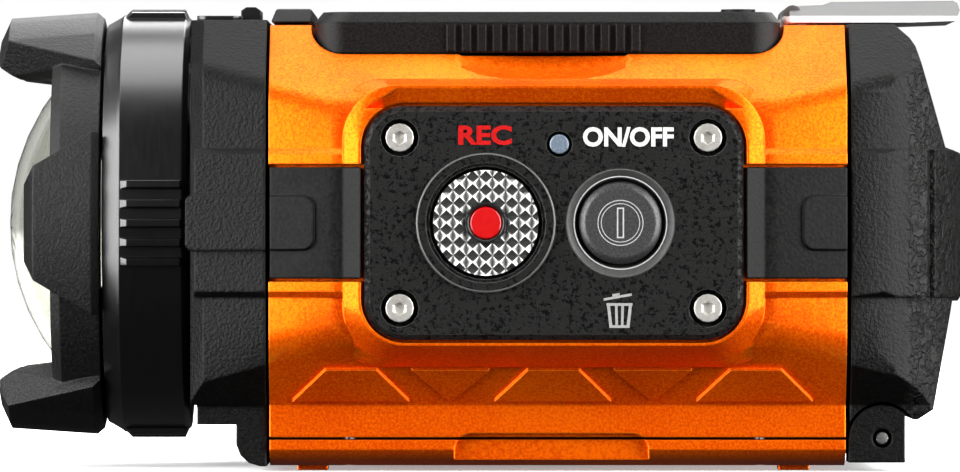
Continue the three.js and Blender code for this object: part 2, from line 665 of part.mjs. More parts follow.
function recButton() {
  const stem = -PLATE_BACK + GAP;
  const cap = turnedSide(REC_X, [
    [-HALF_WIDTH, REC_WELL_R], [-HALF_WIDTH, REC_R - 0.35], [-HALF_WIDTH + 0.35, REC_R],
    [stem, REC_R], [stem, REC_R + 0.5], [stem + 0.8, REC_R + 0.5], [stem + 0.8, 1.5],
    [stem + 1.3, 1.5], [stem + 1.3, 0], [-HALF_WIDTH + 0.8, 0], [-HALF_WIDTH + 0.8, REC_WELL_R],
  ], FINE);
  return cap;
}

function powerButton() {
  const stem = -PLATE_BACK + GAP;
  return turnedSide(POWER_X, [
    [-POWER_FACE, 0], [-POWER_FACE, POWER_R - 0.5], [-POWER_FACE + 0.4, POWER_R],
    [stem, POWER_R], [stem, POWER_R + 0.7], [stem + 0.8, POWER_R + 0.7], [stem + 0.8, 1.5],
    [stem + 1.5, 1.5], [stem + 1.5, 0],
  ], FINE);
}

// A closed (place, radius) profile turned about an axis across the camera, at lens height.
function turnedSide(x, profile, segments) {
  const area = THREE.ShapeUtils.area(profile.map(([y, r]) => new THREE.Vector2(r, y)));
  const points = (area < 0 ? [...profile].reverse() : profile).map(([y, r]) => new THREE.Vector2(r, y));
  const geometry = new THREE.LatheGeometry([...points, points[0]], segments);
  return solid(geometry.translate(x, 0, LENS_Z));
}

// ---- Front housing and the bayonet -----------------------------------------------------

function frontHousing() {
  const rear = SHELL_FRONT - GAP;
  const places = [HOUSING_FRONT, HOUSING_FRONT + 1.2, rear];
  const sectionAt = (x) => {
    const drawnIn = x === HOUSING_FRONT ? 1.6 : 0;
    return bodySection(wallHalf(x) - drawnIn, HOUSING_TOP, TOP_HALF - drawnIn);
  };
  const bumper = prism('y', [
    [BUMPER_FRONT, BUMPER_TOP], [BUMPER_FRONT, BUMPER_BOTTOM + 2],
    [BUMPER_FRONT + 0.4, BUMPER_BOTTOM + 1],
    [BUMPER_FRONT + 1.2, BUMPER_BOTTOM + 0.3], [BUMPER_FRONT + 2.2, BUMPER_BOTTOM], [rear, BUMPER_BOTTOM],
    [rear, BUMPER_TOP + 2],
  ], -BASE_HALF + 0.6, BASE_HALF - 0.6);
  const pads = bothSides(endPad(SHELL_FRONT, -HOUSING_FRONT + SHELL_FRONT + 0.4))
    .intersect(box(HOUSING_FRONT - 0.4, rear, -HALF_WIDTH, HALF_WIDTH, 0, HOUSING_TOP));
  const band = baseBand(HOUSING_FRONT + 0.6, rear, HOUSING_BOTTOM, BASE_HALF - 0.6);
  const outside = join([lofted(places, sectionAt), band, belt([HOUSING_FRONT + 0.4, rear]), pads, bumper]);
  return cut(outside, [
    turned([[HOUSING_FRONT - 2, 0], [HOUSING_FRONT - 2, BORE_R], [rear + 1, BORE_R], [rear + 1, 0]]),
    turned([
      [HOUSING_FRONT - 2, 0], [HOUSING_FRONT - 2, MOUNT_OUTER_R + GAP],
      [HOUSING_FRONT + MOUNT_THICK + GAP, MOUNT_OUTER_R + GAP], [HOUSING_FRONT + MOUNT_THICK + GAP, 0],
    ]),
  ]);
}

// A sector of a ring about the lens axis, centred on an angle in degrees.
function sector(angle, arc, inner, outer, front, rear) {
  const shape = new THREE.Shape();
  const [from, to] = [angle - arc / 2, angle + arc / 2].map(THREE.MathUtils.degToRad);
  shape.absarc(0, LENS_Z, outer, from, to);
  shape.absarc(0, LENS_Z, inner, to, from, true);
  return prism('x', shape, front, rear, 6);
}

function bayonetMount() {
  const inner = SPIGOT_R + GAP;
  const ring = turned([
    [HOUSING_FRONT, inner], [HOUSING_FRONT, MOUNT_OUTER_R],
    [HOUSING_FRONT + MOUNT_THICK, MOUNT_OUTER_R], [HOUSING_FRONT + MOUNT_THICK, inner],
  ]);
  const notches = [0, 120, 240].map((angle) => sector(
    angle + LOCK_TWIST + LUG_ARC / 2, LUG_ARC + 6,
    inner - 1, inner + LUG_RISE, HOUSING_FRONT - 1, HOUSING_FRONT + 2,
  ));
  return cut(ring, notches);
}

// ---- Lens port -------------------------------------------------------------------------

function lensRing() {
  const body = turned([
    [RING_FRONT, RING_INNER_R], [RING_FRONT, RING_R - 1], [RING_FRONT + 1.3, RING_R - 0.25],
    [RING_FRONT + 1.6, RING_R], [RING_REAR - 0.5, RING_R], [RING_REAR, RING_R - 0.5],
    [RING_REAR, SPIGOT_R], [SPIGOT_END, SPIGOT_R], [SPIGOT_END, SPIGOT_R - SPIGOT_WALL],
    [RING_REAR - 1.6, SPIGOT_R - SPIGOT_WALL], [RING_REAR - 1.6, RING_INNER_R],
  ]);
  const lugs = [0, 120, 240].map((angle) => sector(
    angle, LUG_ARC, SPIGOT_R - 0.7, SPIGOT_R + LUG_RISE - 0.1, SPIGOT_END - 0.7, SPIGOT_END,
  ));
  const ribs = [];
  for (const zone of [0, 90, 180, 270]) {
    for (let i = -2; i <= 2; i += 1) ribs.push(gripRib(zone + i * 5.2));
  }
  return join([body, ...lugs, ...ribs]);
}

// One raised rib of the lens ring's grip, with a sloping front end.
function gripRib(angle) {
  const [foot, face] = [RING_R - 0.4, RING_R + 0.5];
  const points = [];
  for (const y of [-0.42, 0.42]) {
    points.push([RING_FRONT + 1.4, y, foot], [RING_REAR - 0.2, y, foot]);
    points.push([RING_FRONT + 2.3, y * 0.8, face], [RING_REAR - 0.6, y * 0.8, face]);
  }
  return aboutLens(hull(points), angle);
}

// A solid built round the origin's X axis, turned by an angle and lifted to the lens axis.
function aboutLens(body, degrees) {
  return body.rotate([degrees, 0, 0]).translate([0, 0, LENS_Z]);
}

// One guard claw, built pointing up: an arched block that narrows towards its tip.
function claw({ tip, baseAngle, tipAngle, baseR, tipR }) {
  const points = [];
  const arc = (x, radius, halfAngle, steps) => {
    for (let i = 0; i <= steps; i += 1) {
      const angle = THREE.MathUtils.degToRad(halfAngle * (2 * i / steps - 1));
      points.push([x, radius * Math.sin(angle), radius * Math.cos(angle)]);
    }
  };
  const base = RING_FRONT - GAP;
  arc(base, baseR - 0.6, baseAngle + 1, 6);
  arc(base - 0.7, baseR, baseAngle, 6);
  arc(tip + 0.9, tipR, tipAngle, 4);
  arc(tip + 0.2, tipR - 1.7, tipAngle - 3, 4);
  arc(tip, tipR - 2.1, tipAngle - 4, 3);
  arc(tip, GUARD_R - 3.7, tipAngle - 4, 2);
  arc(base, GUARD_R - 3.2, baseAngle - 4, 4);
  return hull(points);
}

function lensGuard() {
  const base = RING_FRONT - GAP;
  const upright = { tip: CLAW_TIP, baseAngle: 40, tipAngle: 28, baseR: RING_R + 0.2, tipR: RING_R - 0.35 };
  const sideways = {
    tip: CLAW_TIP + 2.7, baseAngle: 25.5, tipAngle: 16, baseR: RING_R + 0.1, tipR: RING_R - 0.4,
  };
  const seat = DOME_FLANGE_FRONT - GAP;
  const ring = turned([
    [GUARD_FRONT, 10], [GUARD_FRONT, GUARD_R - 1.1], [GUARD_FRONT + 0.9, GUARD_R - 0.3],
    [base, GUARD_R], [base, 10],
  ]);
  const claws = [
    aboutLens(claw(upright), 0), aboutLens(claw(upright), 180),
    aboutLens(claw(sideways), 90), aboutLens(claw(sideways), 270),
  ];
  const opening = turned([
    [CLAW_TIP - 1, 0], [CLAW_TIP - 1, GUARD_R - 2.1], [CLAW_TIP + 0.3, GUARD_R - 2.7],
    [GUARD_FRONT, domeRadiusAt(GUARD_FRONT) + 0.6], [GUARD_FRONT + 0.1, domeRadiusAt(GUARD_FRONT) + GAP],
    [seat, domeRadiusAt(seat) + 0.2], [seat, DOME_FLANGE_R + GAP],
    [base + 1, DOME_FLANGE_R + GAP], [base + 1, 0],
  ]);
  return cut(join([ring, ...claws]), [opening]);
}

// Radius of the dome's outside at a place along the lens axis.
function domeRadiusAt(x) {
  const depth = x - DOME_APEX;
  return Math.sqrt(2 * DOME_R * depth - depth ** 2);
}

// Points along a sphere's profile, from its apex to a given place along the lens axis.
function sphereProfile(apex, radius, end, steps) {
  const centre = apex + radius;
  const last = Math.acos((centre - end) / radius);
  const points = [];
  for (let i = 0; i <= steps; i += 1) {
    const angle = last * i / steps;
    points.push([centre - radius * Math.cos(angle), i === 0 ? 0 : radius * Math.sin(angle)]);
  }
  return points;
}

function dome() {
  const outer = sphereProfile(DOME_APEX, DOME_R, DOME_FLANGE_FRONT, 6);
  const inner = sphereProfile(DOME_APEX + DOME_WALL, DOME_R - DOME_WALL, DOME_FLANGE_REAR, 6);
  return turned([
    ...outer, [DOME_FLANGE_FRONT, DOME_FLANGE_R], [DOME_FLANGE_REAR, DOME_FLANGE_R], ...inner.reverse(),
  ]);
}

// ---- Rear door and latch ---------------------------------------------------------------

// Plan outline that rounds the door's upright edges, a distance proud of its walls.
function doorPlan(rise) {
  const edge = [
    [DOOR_FRONT + 3, wallHalf(DOOR_FRONT + 3)], [DOOR_FRONT + 6, WALL_HALF - 4.3],
    [DOOR_FRONT + 7.8, WALL_HALF - 6.1], [DOOR_FRONT + 9.4, WALL_HALF - 8.7],
    [HALF_LENGTH, WALL_HALF - 14.3],
  ].map(([x, y]) => [x, y + rise]);
  return [[0, HALF_WIDTH], ...edge, ...edge.map(([x, y]) => [x, -y]).reverse(), [0, -HALF_WIDTH]];
}

function rearDoor() {
  const places = [DOOR_FRONT, DOOR_FRONT + 5];
  const tail = (body) => body.add(body.translate([4, 0, 0])).add(body.translate([7, 0, 0]));
  const top = SHELL_TOP + 0.1;
  const silhouette = [
    [0, 2.2], [2.7, 4.6], [6.3, 4.8], [7.7, 5.7], [9.6, 15.7], [10.2, 15.7], [10.8, 16.4],
    [10.8, 28.9], [10.4, 29.4], [8.9, 29.9], [6.1, top - 2.1], [5.6, top - 1.3], [4.2, top], [0, top],
  ].map(([x, z]) => [DOOR_FRONT + x, z]);
  const walls = lofted(places, (x) => bodySection(wallHalf(x), top));
  const body = tail(walls.add(baseBand(...places, HINGE_Z - 1)))
    .intersect(prism('z', doorPlan(0), 0, HALF_LENGTH));
  const belted = tail(belt(places)).intersect(prism('z', doorPlan(BELT_RISE), 0, HALF_LENGTH));
  const pads = bothSides(endPad(DOOR_FRONT, 7.6))
    .intersect(box(DOOR_FRONT, HALF_LENGTH, -HALF_WIDTH, HALF_WIDTH, 0, HALF_LENGTH))
    .intersect(prism('z', doorPlan(PAD_FACE_RISE), 0, HALF_LENGTH));
  const core = prism('z', doorPlan(BELT_RISE), LENS_Z - BELT_HALF_HEIGHT, LENS_Z + BELT_HALF_HEIGHT)
    .intersect(box(DOOR_FRONT + 4, HALF_LENGTH, 5.3 - WALL_HALF, WALL_HALF - 5.3, 0, HALF_LENGTH));
  const block = join([body, belted, pads, core])
    .intersect(prism('y', silhouette, -HALF_WIDTH, HALF_WIDTH));
  const pocket = prism('x', inset(MOUTH_SECTION, 3.4), DOOR_FRONT - 5, DOOR_FRONT + 2.6)
    .intersect(box(0, HALF_LENGTH, -HALF_WIDTH, HALF_WIDTH, 9, CAVITY_TOP - 3));
  const plug = doorPlug(2, DOOR_FRONT - 2.4, DOOR_FRONT + 0.2);
  const knuckle = rod('y', HINGE_X, HINGE_Z, KNUCKLE_R, -KNUCKLE_HALF, KNUCKLE_HALF)
    .add(box(HINGE_X - 1.6, HINGE_X + 2.2, -KNUCKLE_HALF, KNUCKLE_HALF, HINGE_Z + 1, 8));
  const hingeRoom = rod('y', HINGE_X, HINGE_Z, EAR_R + GAP, -HALF_WIDTH, HALF_WIDTH, FINE);
  const below = box(0, HALF_LENGTH, -HALF_WIDTH, HALF_WIDTH, -1, HINGE_Z);
  return cut(cut(block.add(plug), [hingeRoom, below, pocket]).add(knuckle), [
    rod('y', HINGE_X, HINGE_Z, HINGE_PIN_R + RUNNING, -HALF_WIDTH, HALF_WIDTH, COARSE),
  ]);
}

// The step on the door's inner face that enters the shell, a distance in from its walls.
function doorPlug(clearance, front, rear) {
  return prism('x', inset(MOUTH_SECTION, clearance), front, rear)
    .intersect(box(0, HALF_LENGTH, -HALF_WIDTH, HALF_WIDTH, 8.6 + clearance, CAVITY_TOP - clearance));
}

function doorSeal() {
  const [front, rear] = [DOOR_FRONT - 1.9, DOOR_FRONT - 0.5];
  return cut(doorPlug(0.7, front, rear), [doorPlug(2 - GAP, front - 1, rear + 1)]);
}

// Fixed ear that holds one end of the hinge pin, with a round shoulder above the pin.
function hingeEar() {
  const rear = DOOR_FRONT - 0.1;
  const block = prism('y', [
    [rear, EAR_BOTTOM], [EAR_REAR - 2, EAR_BOTTOM], [EAR_REAR - 0.8, EAR_BOTTOM + 0.4],
    [EAR_REAR, EAR_BOTTOM + 1.4], [EAR_REAR, HINGE_Z + 2.1], [HINGE_X, HINGE_Z + 2.4], [rear, HINGE_Z],
  ], -EAR_OUTER, -KNUCKLE_HALF - GAP);
  const shoulder = rod('y', HINGE_X, HINGE_Z, EAR_R, -EAR_OUTER, -KNUCKLE_HALF - GAP, FINE)
    .intersect(box(rear, EAR_REAR, -HALF_WIDTH, 0, EAR_BOTTOM, HINGE_Z + EAR_R));
  const lower = box(rear, EAR_REAR, -HALF_WIDTH, 0, 0, HINGE_Z);
  return cut(block.intersect(shoulder.add(lower)).add(shoulder), [
    rod('y', HINGE_X, HINGE_Z, HINGE_PIN_R + GAP, -HALF_WIDTH, 0, COARSE),
  ]);
}

// Latch lever: a long plate with sloping sides, a round nose at its pivot and a finger lip.
function latchLever() {
  const side = prism('y', [
    [LEVER_X - 0.3, LEVER_UNDER], [LEVER_X + 10.9, LEVER_UNDER], [LEVER_X + 15.2, LEVER_UNDER + 0.15],
    [HALF_LENGTH, LEVER_TOP - 0.9], [HALF_LENGTH - 0.2, LEVER_TOP - 0.2], [HALF_LENGTH - 0.6, LEVER_TOP],
    [LEVER_X + 3.65, LEVER_TOP - 0.12], [LEVER_X + 2.85, LEVER_TOP - 0.4],
    [LEVER_X - 0.3, LEVER_Z + LEVER_NOSE_R - 0.1],
  ], -LEVER_HALF, LEVER_HALF);
  const across = prism('x', fullSection([
    [LEVER_HALF, LEVER_UNDER - 0.2], [LEVER_HALF, LEVER_UNDER + 0.6], [LEVER_HALF - 2.6, LEVER_TOP + 0.05],
  ]), 0, HALF_LENGTH);
  const nose = rod('y', LEVER_X, LEVER_Z, LEVER_NOSE_R, -LEVER_HALF + 1, LEVER_HALF - 1);
  const pinRoom = rod('y', LEVER_X, LEVER_Z, LEVER_PIN_R + RUNNING, -8.4, 8.4, COARSE);
  const bracketRoom = box(
    LEVER_X - 2, LEVER_X + LEVER_NOSE_R + 0.5,
    -BRACKET_HALF - GAP, BRACKET_HALF + GAP, SHELL_TOP, LEVER_TOP + 1,
  );
  return cut(side.intersect(across).add(nose), [pinRoom, bracketRoom]);
}

// Pivot of the lever: a bracket on the shell with the pin pressed through it.
function leverPivot() {
  const foot = SHELL_TOP + GAP;
  return join([
    rod('y', LEVER_X, LEVER_Z, LEVER_NOSE_R - 0.05, -BRACKET_HALF, BRACKET_HALF),
    box(LEVER_X - 0.75, LEVER_X + 0.75, -BRACKET_HALF, BRACKET_HALF, foot, LEVER_Z),
    rod('y', LEVER_X, LEVER_Z, LEVER_PIN_R, -8.1, 8.1, COARSE),
  ]);
}

// ---- Top pieces ------------------------------------------------------------------------

function keyPlaces() {
  return [-1.5, -0.5, 0.5, 1.5].map((step) => step * KEY_PITCH);
}

function displayFrame() {
  const length = FRAME_REAR - FRAME_FRONT;
  const centre = (FRAME_FRONT + FRAME_REAR) / 2;
  const bevel = 0.8;
  const ring = (less, z) => {
    const plan = roundedRect(centre, 0, length - 2 * less, 2 * (FRAME_HALF - less), FRAME_CORNER);
    return plan.getPoints(4).map((p) => [p.x, p.y, z]);
  };
  const block = hull([
    ...ring(0, FRAME_BOTTOM), ...ring(0, SHELL_TOP + 0.2), ...ring(bevel, FRAME_TOP),
  ]);
  const ribs = [];
  for (let i = 0; i < GRIP_RIBS; i += 1) {
    const x = GRIP_X + (i - (GRIP_RIBS - 1) / 2) * RIB_PITCH;
    ribs.push(box(
      x - RIB_WIDTH / 2, x + RIB_WIDTH / 2,
      -FRAME_HALF - RIB_RISE, -FRAME_HALF + 0.5, FRAME_BOTTOM + 0.15, SHELL_TOP,
    ));
  }
  const windowSeat = roundedRect(WINDOW_X, 0, WINDOW_LENGTH + 2 * GAP, WINDOW_WIDTH + 2 * GAP, 1.6);
  return cut(block.add(bothSides(join(ribs))), [
    prism('z', windowSeat, FRAME_TOP - WINDOW_THICK - GAP, FRAME_TOP + 1, 3),
    box(
      WINDOW_X - SCREEN_LENGTH / 2 - GAP, WINDOW_X + SCREEN_LENGTH / 2 + GAP,
      -SCREEN_WIDTH / 2 - GAP, SCREEN_WIDTH / 2 + GAP, FRAME_BOTTOM - 1, FRAME_TOP,
    ),
    ...keyPlaces().map((y) => rod('z', KEY_X, y, KEY_R + GAP, FRAME_BOTTOM - 1, FRAME_TOP + 1, COARSE)),
  ]);
}

function key(y) {
  return rod('z', KEY_X, y, KEY_R, FRAME_BOTTOM + 0.6, FRAME_TOP + KEY_PROUD - 0.3, COARSE)
    .add(rod('z', KEY_X, y, KEY_R - 0.3, FRAME_TOP, FRAME_TOP + KEY_PROUD, COARSE));
}

function ringLock() {
  const foot = HOUSING_TOP + GAP;
  const plate = prism('z', roundedRect(HOUSING_FRONT + 2.2, 0, 4.2, 12, 1), foot, foot + 0.4, 4);
  const knob = prism('y', [
    [BUMPER_FRONT, foot], [BUMPER_FRONT + 1.9, foot], [BUMPER_FRONT + 1.9, foot + 0.9],
    [BUMPER_FRONT + 1.4, foot + 1.25], [BUMPER_FRONT + 0.5, foot + 1.25], [BUMPER_FRONT, foot + 0.9],
  ], -4, 4);
  return plate.add(knob);
}

function topFrontCover() {
  const rear = FRAME_FRONT - GAP;
  const [foot, face] = [TOP_HALF - 2, TOP_HALF - 3.5];
  return hull([-1, 1].flatMap((side) => [
    [SHELL_FRONT, side * foot, SHELL_TOP + GAP], [rear, side * foot, SHELL_TOP + GAP],
    [SHELL_FRONT + 0.5, side * face, FRAME_TOP + 0.4], [rear, side * face, FRAME_TOP + 0.4],
  ]));
}

// ---- Base ------------------------------------------------------------------------------

function basePlate() {
  const section = fullSection([
    [BASE_EDGE_HALF, BASE_BOTTOM], [BASE_HALF - 0.9, 1.1], [BASE_HALF, 2], [BASE_HALF, BASE_TOP],
  ]);
  const feet = [];
  for (const x of [SHELL_FRONT + 3.9, SHELL_REAR - 4.6]) {
    feet.push(box(x - FOOT_LENGTH / 2, x + FOOT_LENGTH / 2, 13, 13 + FOOT_WIDTH, 0, BASE_BOTTOM + 0.5));
  }
  const screwHoles = baseScrews().flatMap(([x, y]) => [
    rod('z', x, y, SCREW_HEAD_R + GAP, -1, 1.8, 16),
    rod('z', x, y, SCREW_SHANK_R + GAP, -1, BASE_TOP + 1, 12),
  ]);
  return cut(prism('x', section, SHELL_FRONT, SHELL_REAR).add(bothSides(join(feet))), [
    rod('z', TRIPOD_X, 0, INSERT_R + GAP, -1, BASE_TOP + 1, COARSE),
    bothSides(baseRecess()),
    ...screwHoles,
  ]);
}

function baseScrews() {
  return BASE_SCREW_X.flatMap((x) => [[x, -BASE_SCREW_Y], [x, BASE_SCREW_Y]]);
}

function baseScrew(x, y) {
  return cut(rod('z', x, y, SCREW_HEAD_R, 0.6, 1.5, 16).add(rod('z', x, y, SCREW_SHANK_R, 1.4, 7, 12)), [
    rod('z', x, y, 0.6, 0, 1.05, 6),
  ]);
}

function tripodInsert() {
  const body = rod('z', TRIPOD_X, 0, INSERT_R, BASE_BOTTOM + 0.2, 7, COARSE);
  return cut(body, [rod('z', TRIPOD_X, 0, TRIPOD_R, 0, 8, COARSE)]);
}

// ---- Parts inside ----------------------------------------------------------------------

function lensBarrel() {
  const collar = SHELL_FRONT + FRONT_WALL + GAP; // rests behind the shell's front wall
  const bore = LENS_R - 4.5;
  return turned([
    [BARREL_FRONT, LENS_R + GAP], [BARREL_FRONT, BARREL_R - 0.6], [BARREL_FRONT + 0.6, BARREL_R],
    [collar, BARREL_R], [collar, BARREL_R + 0.8], [collar + 1.3, BARREL_R + 0.8],
    [collar + 1.3, BARREL_R - 1.8], [BARREL_REAR, BARREL_R - 3.8], [BARREL_REAR, bore],
    [BARREL_FRONT + 3.5, bore], [BARREL_FRONT + 3.5, LENS_R + GAP],
  ], 32);
}

function frontLens() {
  const curve = capRadius(LENS_R, LENS_BULGE);
  const front = sphereProfile(BARREL_FRONT - LENS_BULGE, curve, BARREL_FRONT, 6);
  const back = BARREL_FRONT + 3.2;
  return turned([...front, [back, LENS_R], [back, 0]], 32);
}

function domeRetainer() {
  const outer = RING_INNER_R - GAP;
  return turned([
    [RING_FRONT + 0.1, outer - 1], [RING_FRONT + 0.1, outer], [RING_REAR - 1.9, outer],
    [RING_REAR - 1.9, BARREL_R + 0.6], [RING_FRONT + 3.4, BARREL_R + 0.6],
    [RING_FRONT + 3.4, BARREL_R + 1.3], [RING_FRONT + 1.7, BARREL_R + 1.6],
    [RING_FRONT + 1.7, outer - 1.6],
  ]);
}

function domeSeal() {
  return turned([
    [DOME_FLANGE_REAR + GAP, DOME_FLANGE_R - 1.1], [DOME_FLANGE_REAR + GAP, DOME_FLANGE_R],
    [RING_FRONT - 0.2, DOME_FLANGE_R], [RING_FRONT - 0.2, DOME_FLANGE_R - 1.1],
  ]);
}

function chassis() {
  const wall = 1.2;
  const room = BATTERY_HALF + GAP;
  const tray = box(
    BATTERY_FRONT - GAP - wall, BATTERY_REAR, -room - wall, room + wall,
    BATTERY_BOTTOM - GAP - wall, BATTERY_TOP + GAP + wall,
  );
  return cut(tray, [box(
    BATTERY_FRONT - GAP, BATTERY_REAR + 1, -room, room, BATTERY_BOTTOM - GAP, BATTERY_TOP + GAP,
  )]);
}

function cardSlot() {
  const [front, rear] = [BOARD_REAR - 17, BOARD_REAR - 1];
  return cut(box(front, rear, CARD_INNER, CARD_OUTER, BOARD_TOP + GAP, BOARD_TOP + 3.3), [
    box(front + 0.6, rear + 1, CARD_INNER + 0.7, CARD_OUTER - 0.7, BOARD_TOP + 0.9, BOARD_TOP + 2.7),
  ]);
}

function memoryCard() {
  return box(
    BOARD_REAR - 16, BOARD_REAR - 1, CARD_INNER + 1, CARD_OUTER - 1, BOARD_TOP + 1.2, BOARD_TOP + 2.4,
  );
}

function port(y0, y1, height) {
  const front = BOARD_REAR - 6.5;
  const foot = BOARD_TOP + GAP;
  return cut(box(front, BOARD_REAR, y0, y1, foot, foot + height), [
    box(front + 1, BOARD_REAR + 1, y0 + 0.6, y1 - 0.6, foot + 0.6, foot + height - 0.6),
  ]);
}

// The small board behind the control plate, and the two switches the buttons press.
function buttonBoard() {
  return box(PLATE_X - 12, PLATE_X + 12, 3.2 - WALL_HALF, 4.1 - WALL_HALF, LENS_Z - 6.4, LENS_Z + 8.6);
}

function buttonSwitch(x) {
  return box(x - 2, x + 2, 2.35 - WALL_HALF, 2.9 - WALL_HALF, LENS_Z - 2, LENS_Z + 2);
}

// ---- Putting the camera together -------------------------------------------------------

const frontBand = bandInsert(SHELL_FRONT + 0.1, PLATE_X - PLATE_LENGTH / 2 - GAP);
const rearBand = bandInsert(SHELL_REAR, PLATE_X + PLATE_LENGTH / 2 + GAP);

add('shell', 'orange', shell());
add('base_plate', 'orange', basePlate());
add('front_housing', 'black', frontHousing());
add('bayonet_mount', 'steel', bayonetMount());
add('front_band_left', 'black', frontBand);
add('front_band_right', 'black', mirrored(frontBand));
add('rear_band_left', 'black', rearBand);
add('rear_band_right', 'black', mirrored(rearBand));
add('control_plate', 'black', controlPlate());
plateScrews().forEach(([x, z], i) => add(`plate_screw_${i + 1}`, 'steel', plateScrew(x, z)));
add('status_lamp', 'lamp', rod('y', LAMP_X, LAMP_Z, LAMP_R, -PLATE_FACE - 0.05, -LAMP_END, 16));
add('grip_panel', 'rubber', gripPanel());
add('rec_button', 'silver', recButton());
add('rec_dot', 'red', rod(
  'y', REC_X, LENS_Z, REC_DOT_R, -HALF_WIDTH + 0.1, -HALF_WIDTH + 0.5, COARSE,
));
add('power_button', 'black', powerButton());
add('display_frame', 'black', displayFrame());
add('display_window', 'glass', prism('z',
  roundedRect(WINDOW_X, 0, WINDOW_LENGTH, WINDOW_WIDTH, 1.4), FRAME_TOP - WINDOW_THICK, FRAME_TOP - 0.05, 3));
add('display_panel', 'screen', box(
  WINDOW_X - SCREEN_LENGTH / 2, WINDOW_X + SCREEN_LENGTH / 2, -SCREEN_WIDTH / 2, SCREEN_WIDTH / 2,
  FRAME_BOTTOM + 0.2, FRAME_TOP - WINDOW_THICK - 2 * GAP,
));
add('display_board', 'board', box(
  WINDOW_X - 15, KEY_X + 2.2, 3.2 - TOP_HALF, TOP_HALF - 3.2, FRAME_BOTTOM - 1.6, FRAME_BOTTOM - 0.6,
));
const KEY_NAMES = ['menu_button', 'up_button', 'down_button', 'playback_button'];
keyPlaces().forEach((y, i) => add(KEY_NAMES[i], 'black', key(y)));
add('top_front_cover', 'black', topFrontCover());
add('ring_lock', 'black', ringLock());
add('lens_ring', 'black', lensRing());
add('lens_guard', 'black', lensGuard());
add('dome', 'glass', dome());
add('dome_seal', 'rubber', domeSeal());
add('dome_retainer', 'black', domeRetainer());
add('lens_barrel', 'black', lensBarrel());
add('front_lens', 'glass', frontLens());
add('image_sensor', 'board', box(
  BARREL_REAR + GAP, BARREL_REAR + 1.2, -SENSOR_HALF, SENSOR_HALF,
  LENS_Z - SENSOR_HALF, LENS_Z + SENSOR_HALF,
));
add('rear_door', 'black', rearDoor());
add('door_seal', 'rubber', doorSeal());
add('hinge_ear_left', 'black', hingeEar());
add('hinge_ear_right', 'black', mirrored(hingeEar()));
add('hinge_pin', 'steel', rod(
  'y', HINGE_X, HINGE_Z, HINGE_PIN_R, -EAR_OUTER + 0.5, EAR_OUTER - 0.5, COARSE,
));
add('latch_lever', 'silver', latchLever());
add('lever_pivot', 'steel', leverPivot());
add('tripod_insert', 'brass', tripodInsert());
baseScrews().forEach(([x, y], i) => add(`base_screw_${i + 1}`, 'steel', baseScrew(x, y)));
add('chassis', 'black', chassis());
add('battery', 'cell', box(
  BATTERY_FRONT, BATTERY_REAR, -BATTERY_HALF, BATTERY_HALF, BATTERY_BOTTOM, BATTERY_TOP,
));
add('main_board', 'board', box(
  BARREL_REAR + 2.8, BOARD_REAR, -BOARD_HALF, BOARD_HALF, BOARD_Z, BOARD_TOP,
));
add('card_slot', 'steel', cardSlot());
add('memory_card', 'black', memoryCard());
add('usb_port', 'steel', port(-16, -8, 3.2));
add('hdmi_port', 'steel', port(-5, 5, 3.4));
add('button_board', 'board', buttonBoard());
add('rec_switch', 'steel', buttonSwitch(REC_X));
add('power_switch', 'steel', buttonSwitch(POWER_X));
add('speaker', 'steel', rod('y', PLATE_X, LENS_Z + 2, 5.5, WALL_HALF - 5.1, WALL_HALF - 3.1, COARSE));

export default camera;
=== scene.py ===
import math

import bmesh
import bpy
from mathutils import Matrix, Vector


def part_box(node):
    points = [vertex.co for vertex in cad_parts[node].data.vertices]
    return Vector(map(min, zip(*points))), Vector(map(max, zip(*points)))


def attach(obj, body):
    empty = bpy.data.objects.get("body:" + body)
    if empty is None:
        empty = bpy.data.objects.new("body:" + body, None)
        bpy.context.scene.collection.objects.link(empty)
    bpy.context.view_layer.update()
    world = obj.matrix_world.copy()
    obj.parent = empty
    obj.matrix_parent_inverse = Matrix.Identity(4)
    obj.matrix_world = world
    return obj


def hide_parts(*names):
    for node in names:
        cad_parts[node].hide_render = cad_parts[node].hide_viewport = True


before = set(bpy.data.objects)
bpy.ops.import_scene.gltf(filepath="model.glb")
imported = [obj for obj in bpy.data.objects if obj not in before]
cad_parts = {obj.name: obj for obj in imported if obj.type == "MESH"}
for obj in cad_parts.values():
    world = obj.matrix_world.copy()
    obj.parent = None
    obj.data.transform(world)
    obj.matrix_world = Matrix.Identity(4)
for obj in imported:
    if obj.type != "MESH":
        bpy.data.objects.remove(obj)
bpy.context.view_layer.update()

# ---- Camera -----------------------------------------------------------------------------
# The camera stands level with the middle of the body and looks at its left side, where the
# control plate is, from far enough away for the body to show nearly without perspective.

camera_data = bpy.data.cameras.new("camera")
camera_data.sensor_width = 36
camera_data.lens = 398
camera_data.clip_start = 0.05
camera_data.clip_end = 60
camera = bpy.data.objects.new("camera", camera_data)
camera.location = (0.0001, -1.003, 0.0217)
camera.rotation_euler = (math.radians(90), 0, 0)
bpy.context.scene.collection.objects.link(camera)
bpy.context.scene.camera = camera

# ---- Floor and light --------------------------------------------------------------------
# The camera stands on a plain pale floor under soft studio light: a wide softbox overhead,
# one at each side of the operator, and a weak one behind the object.


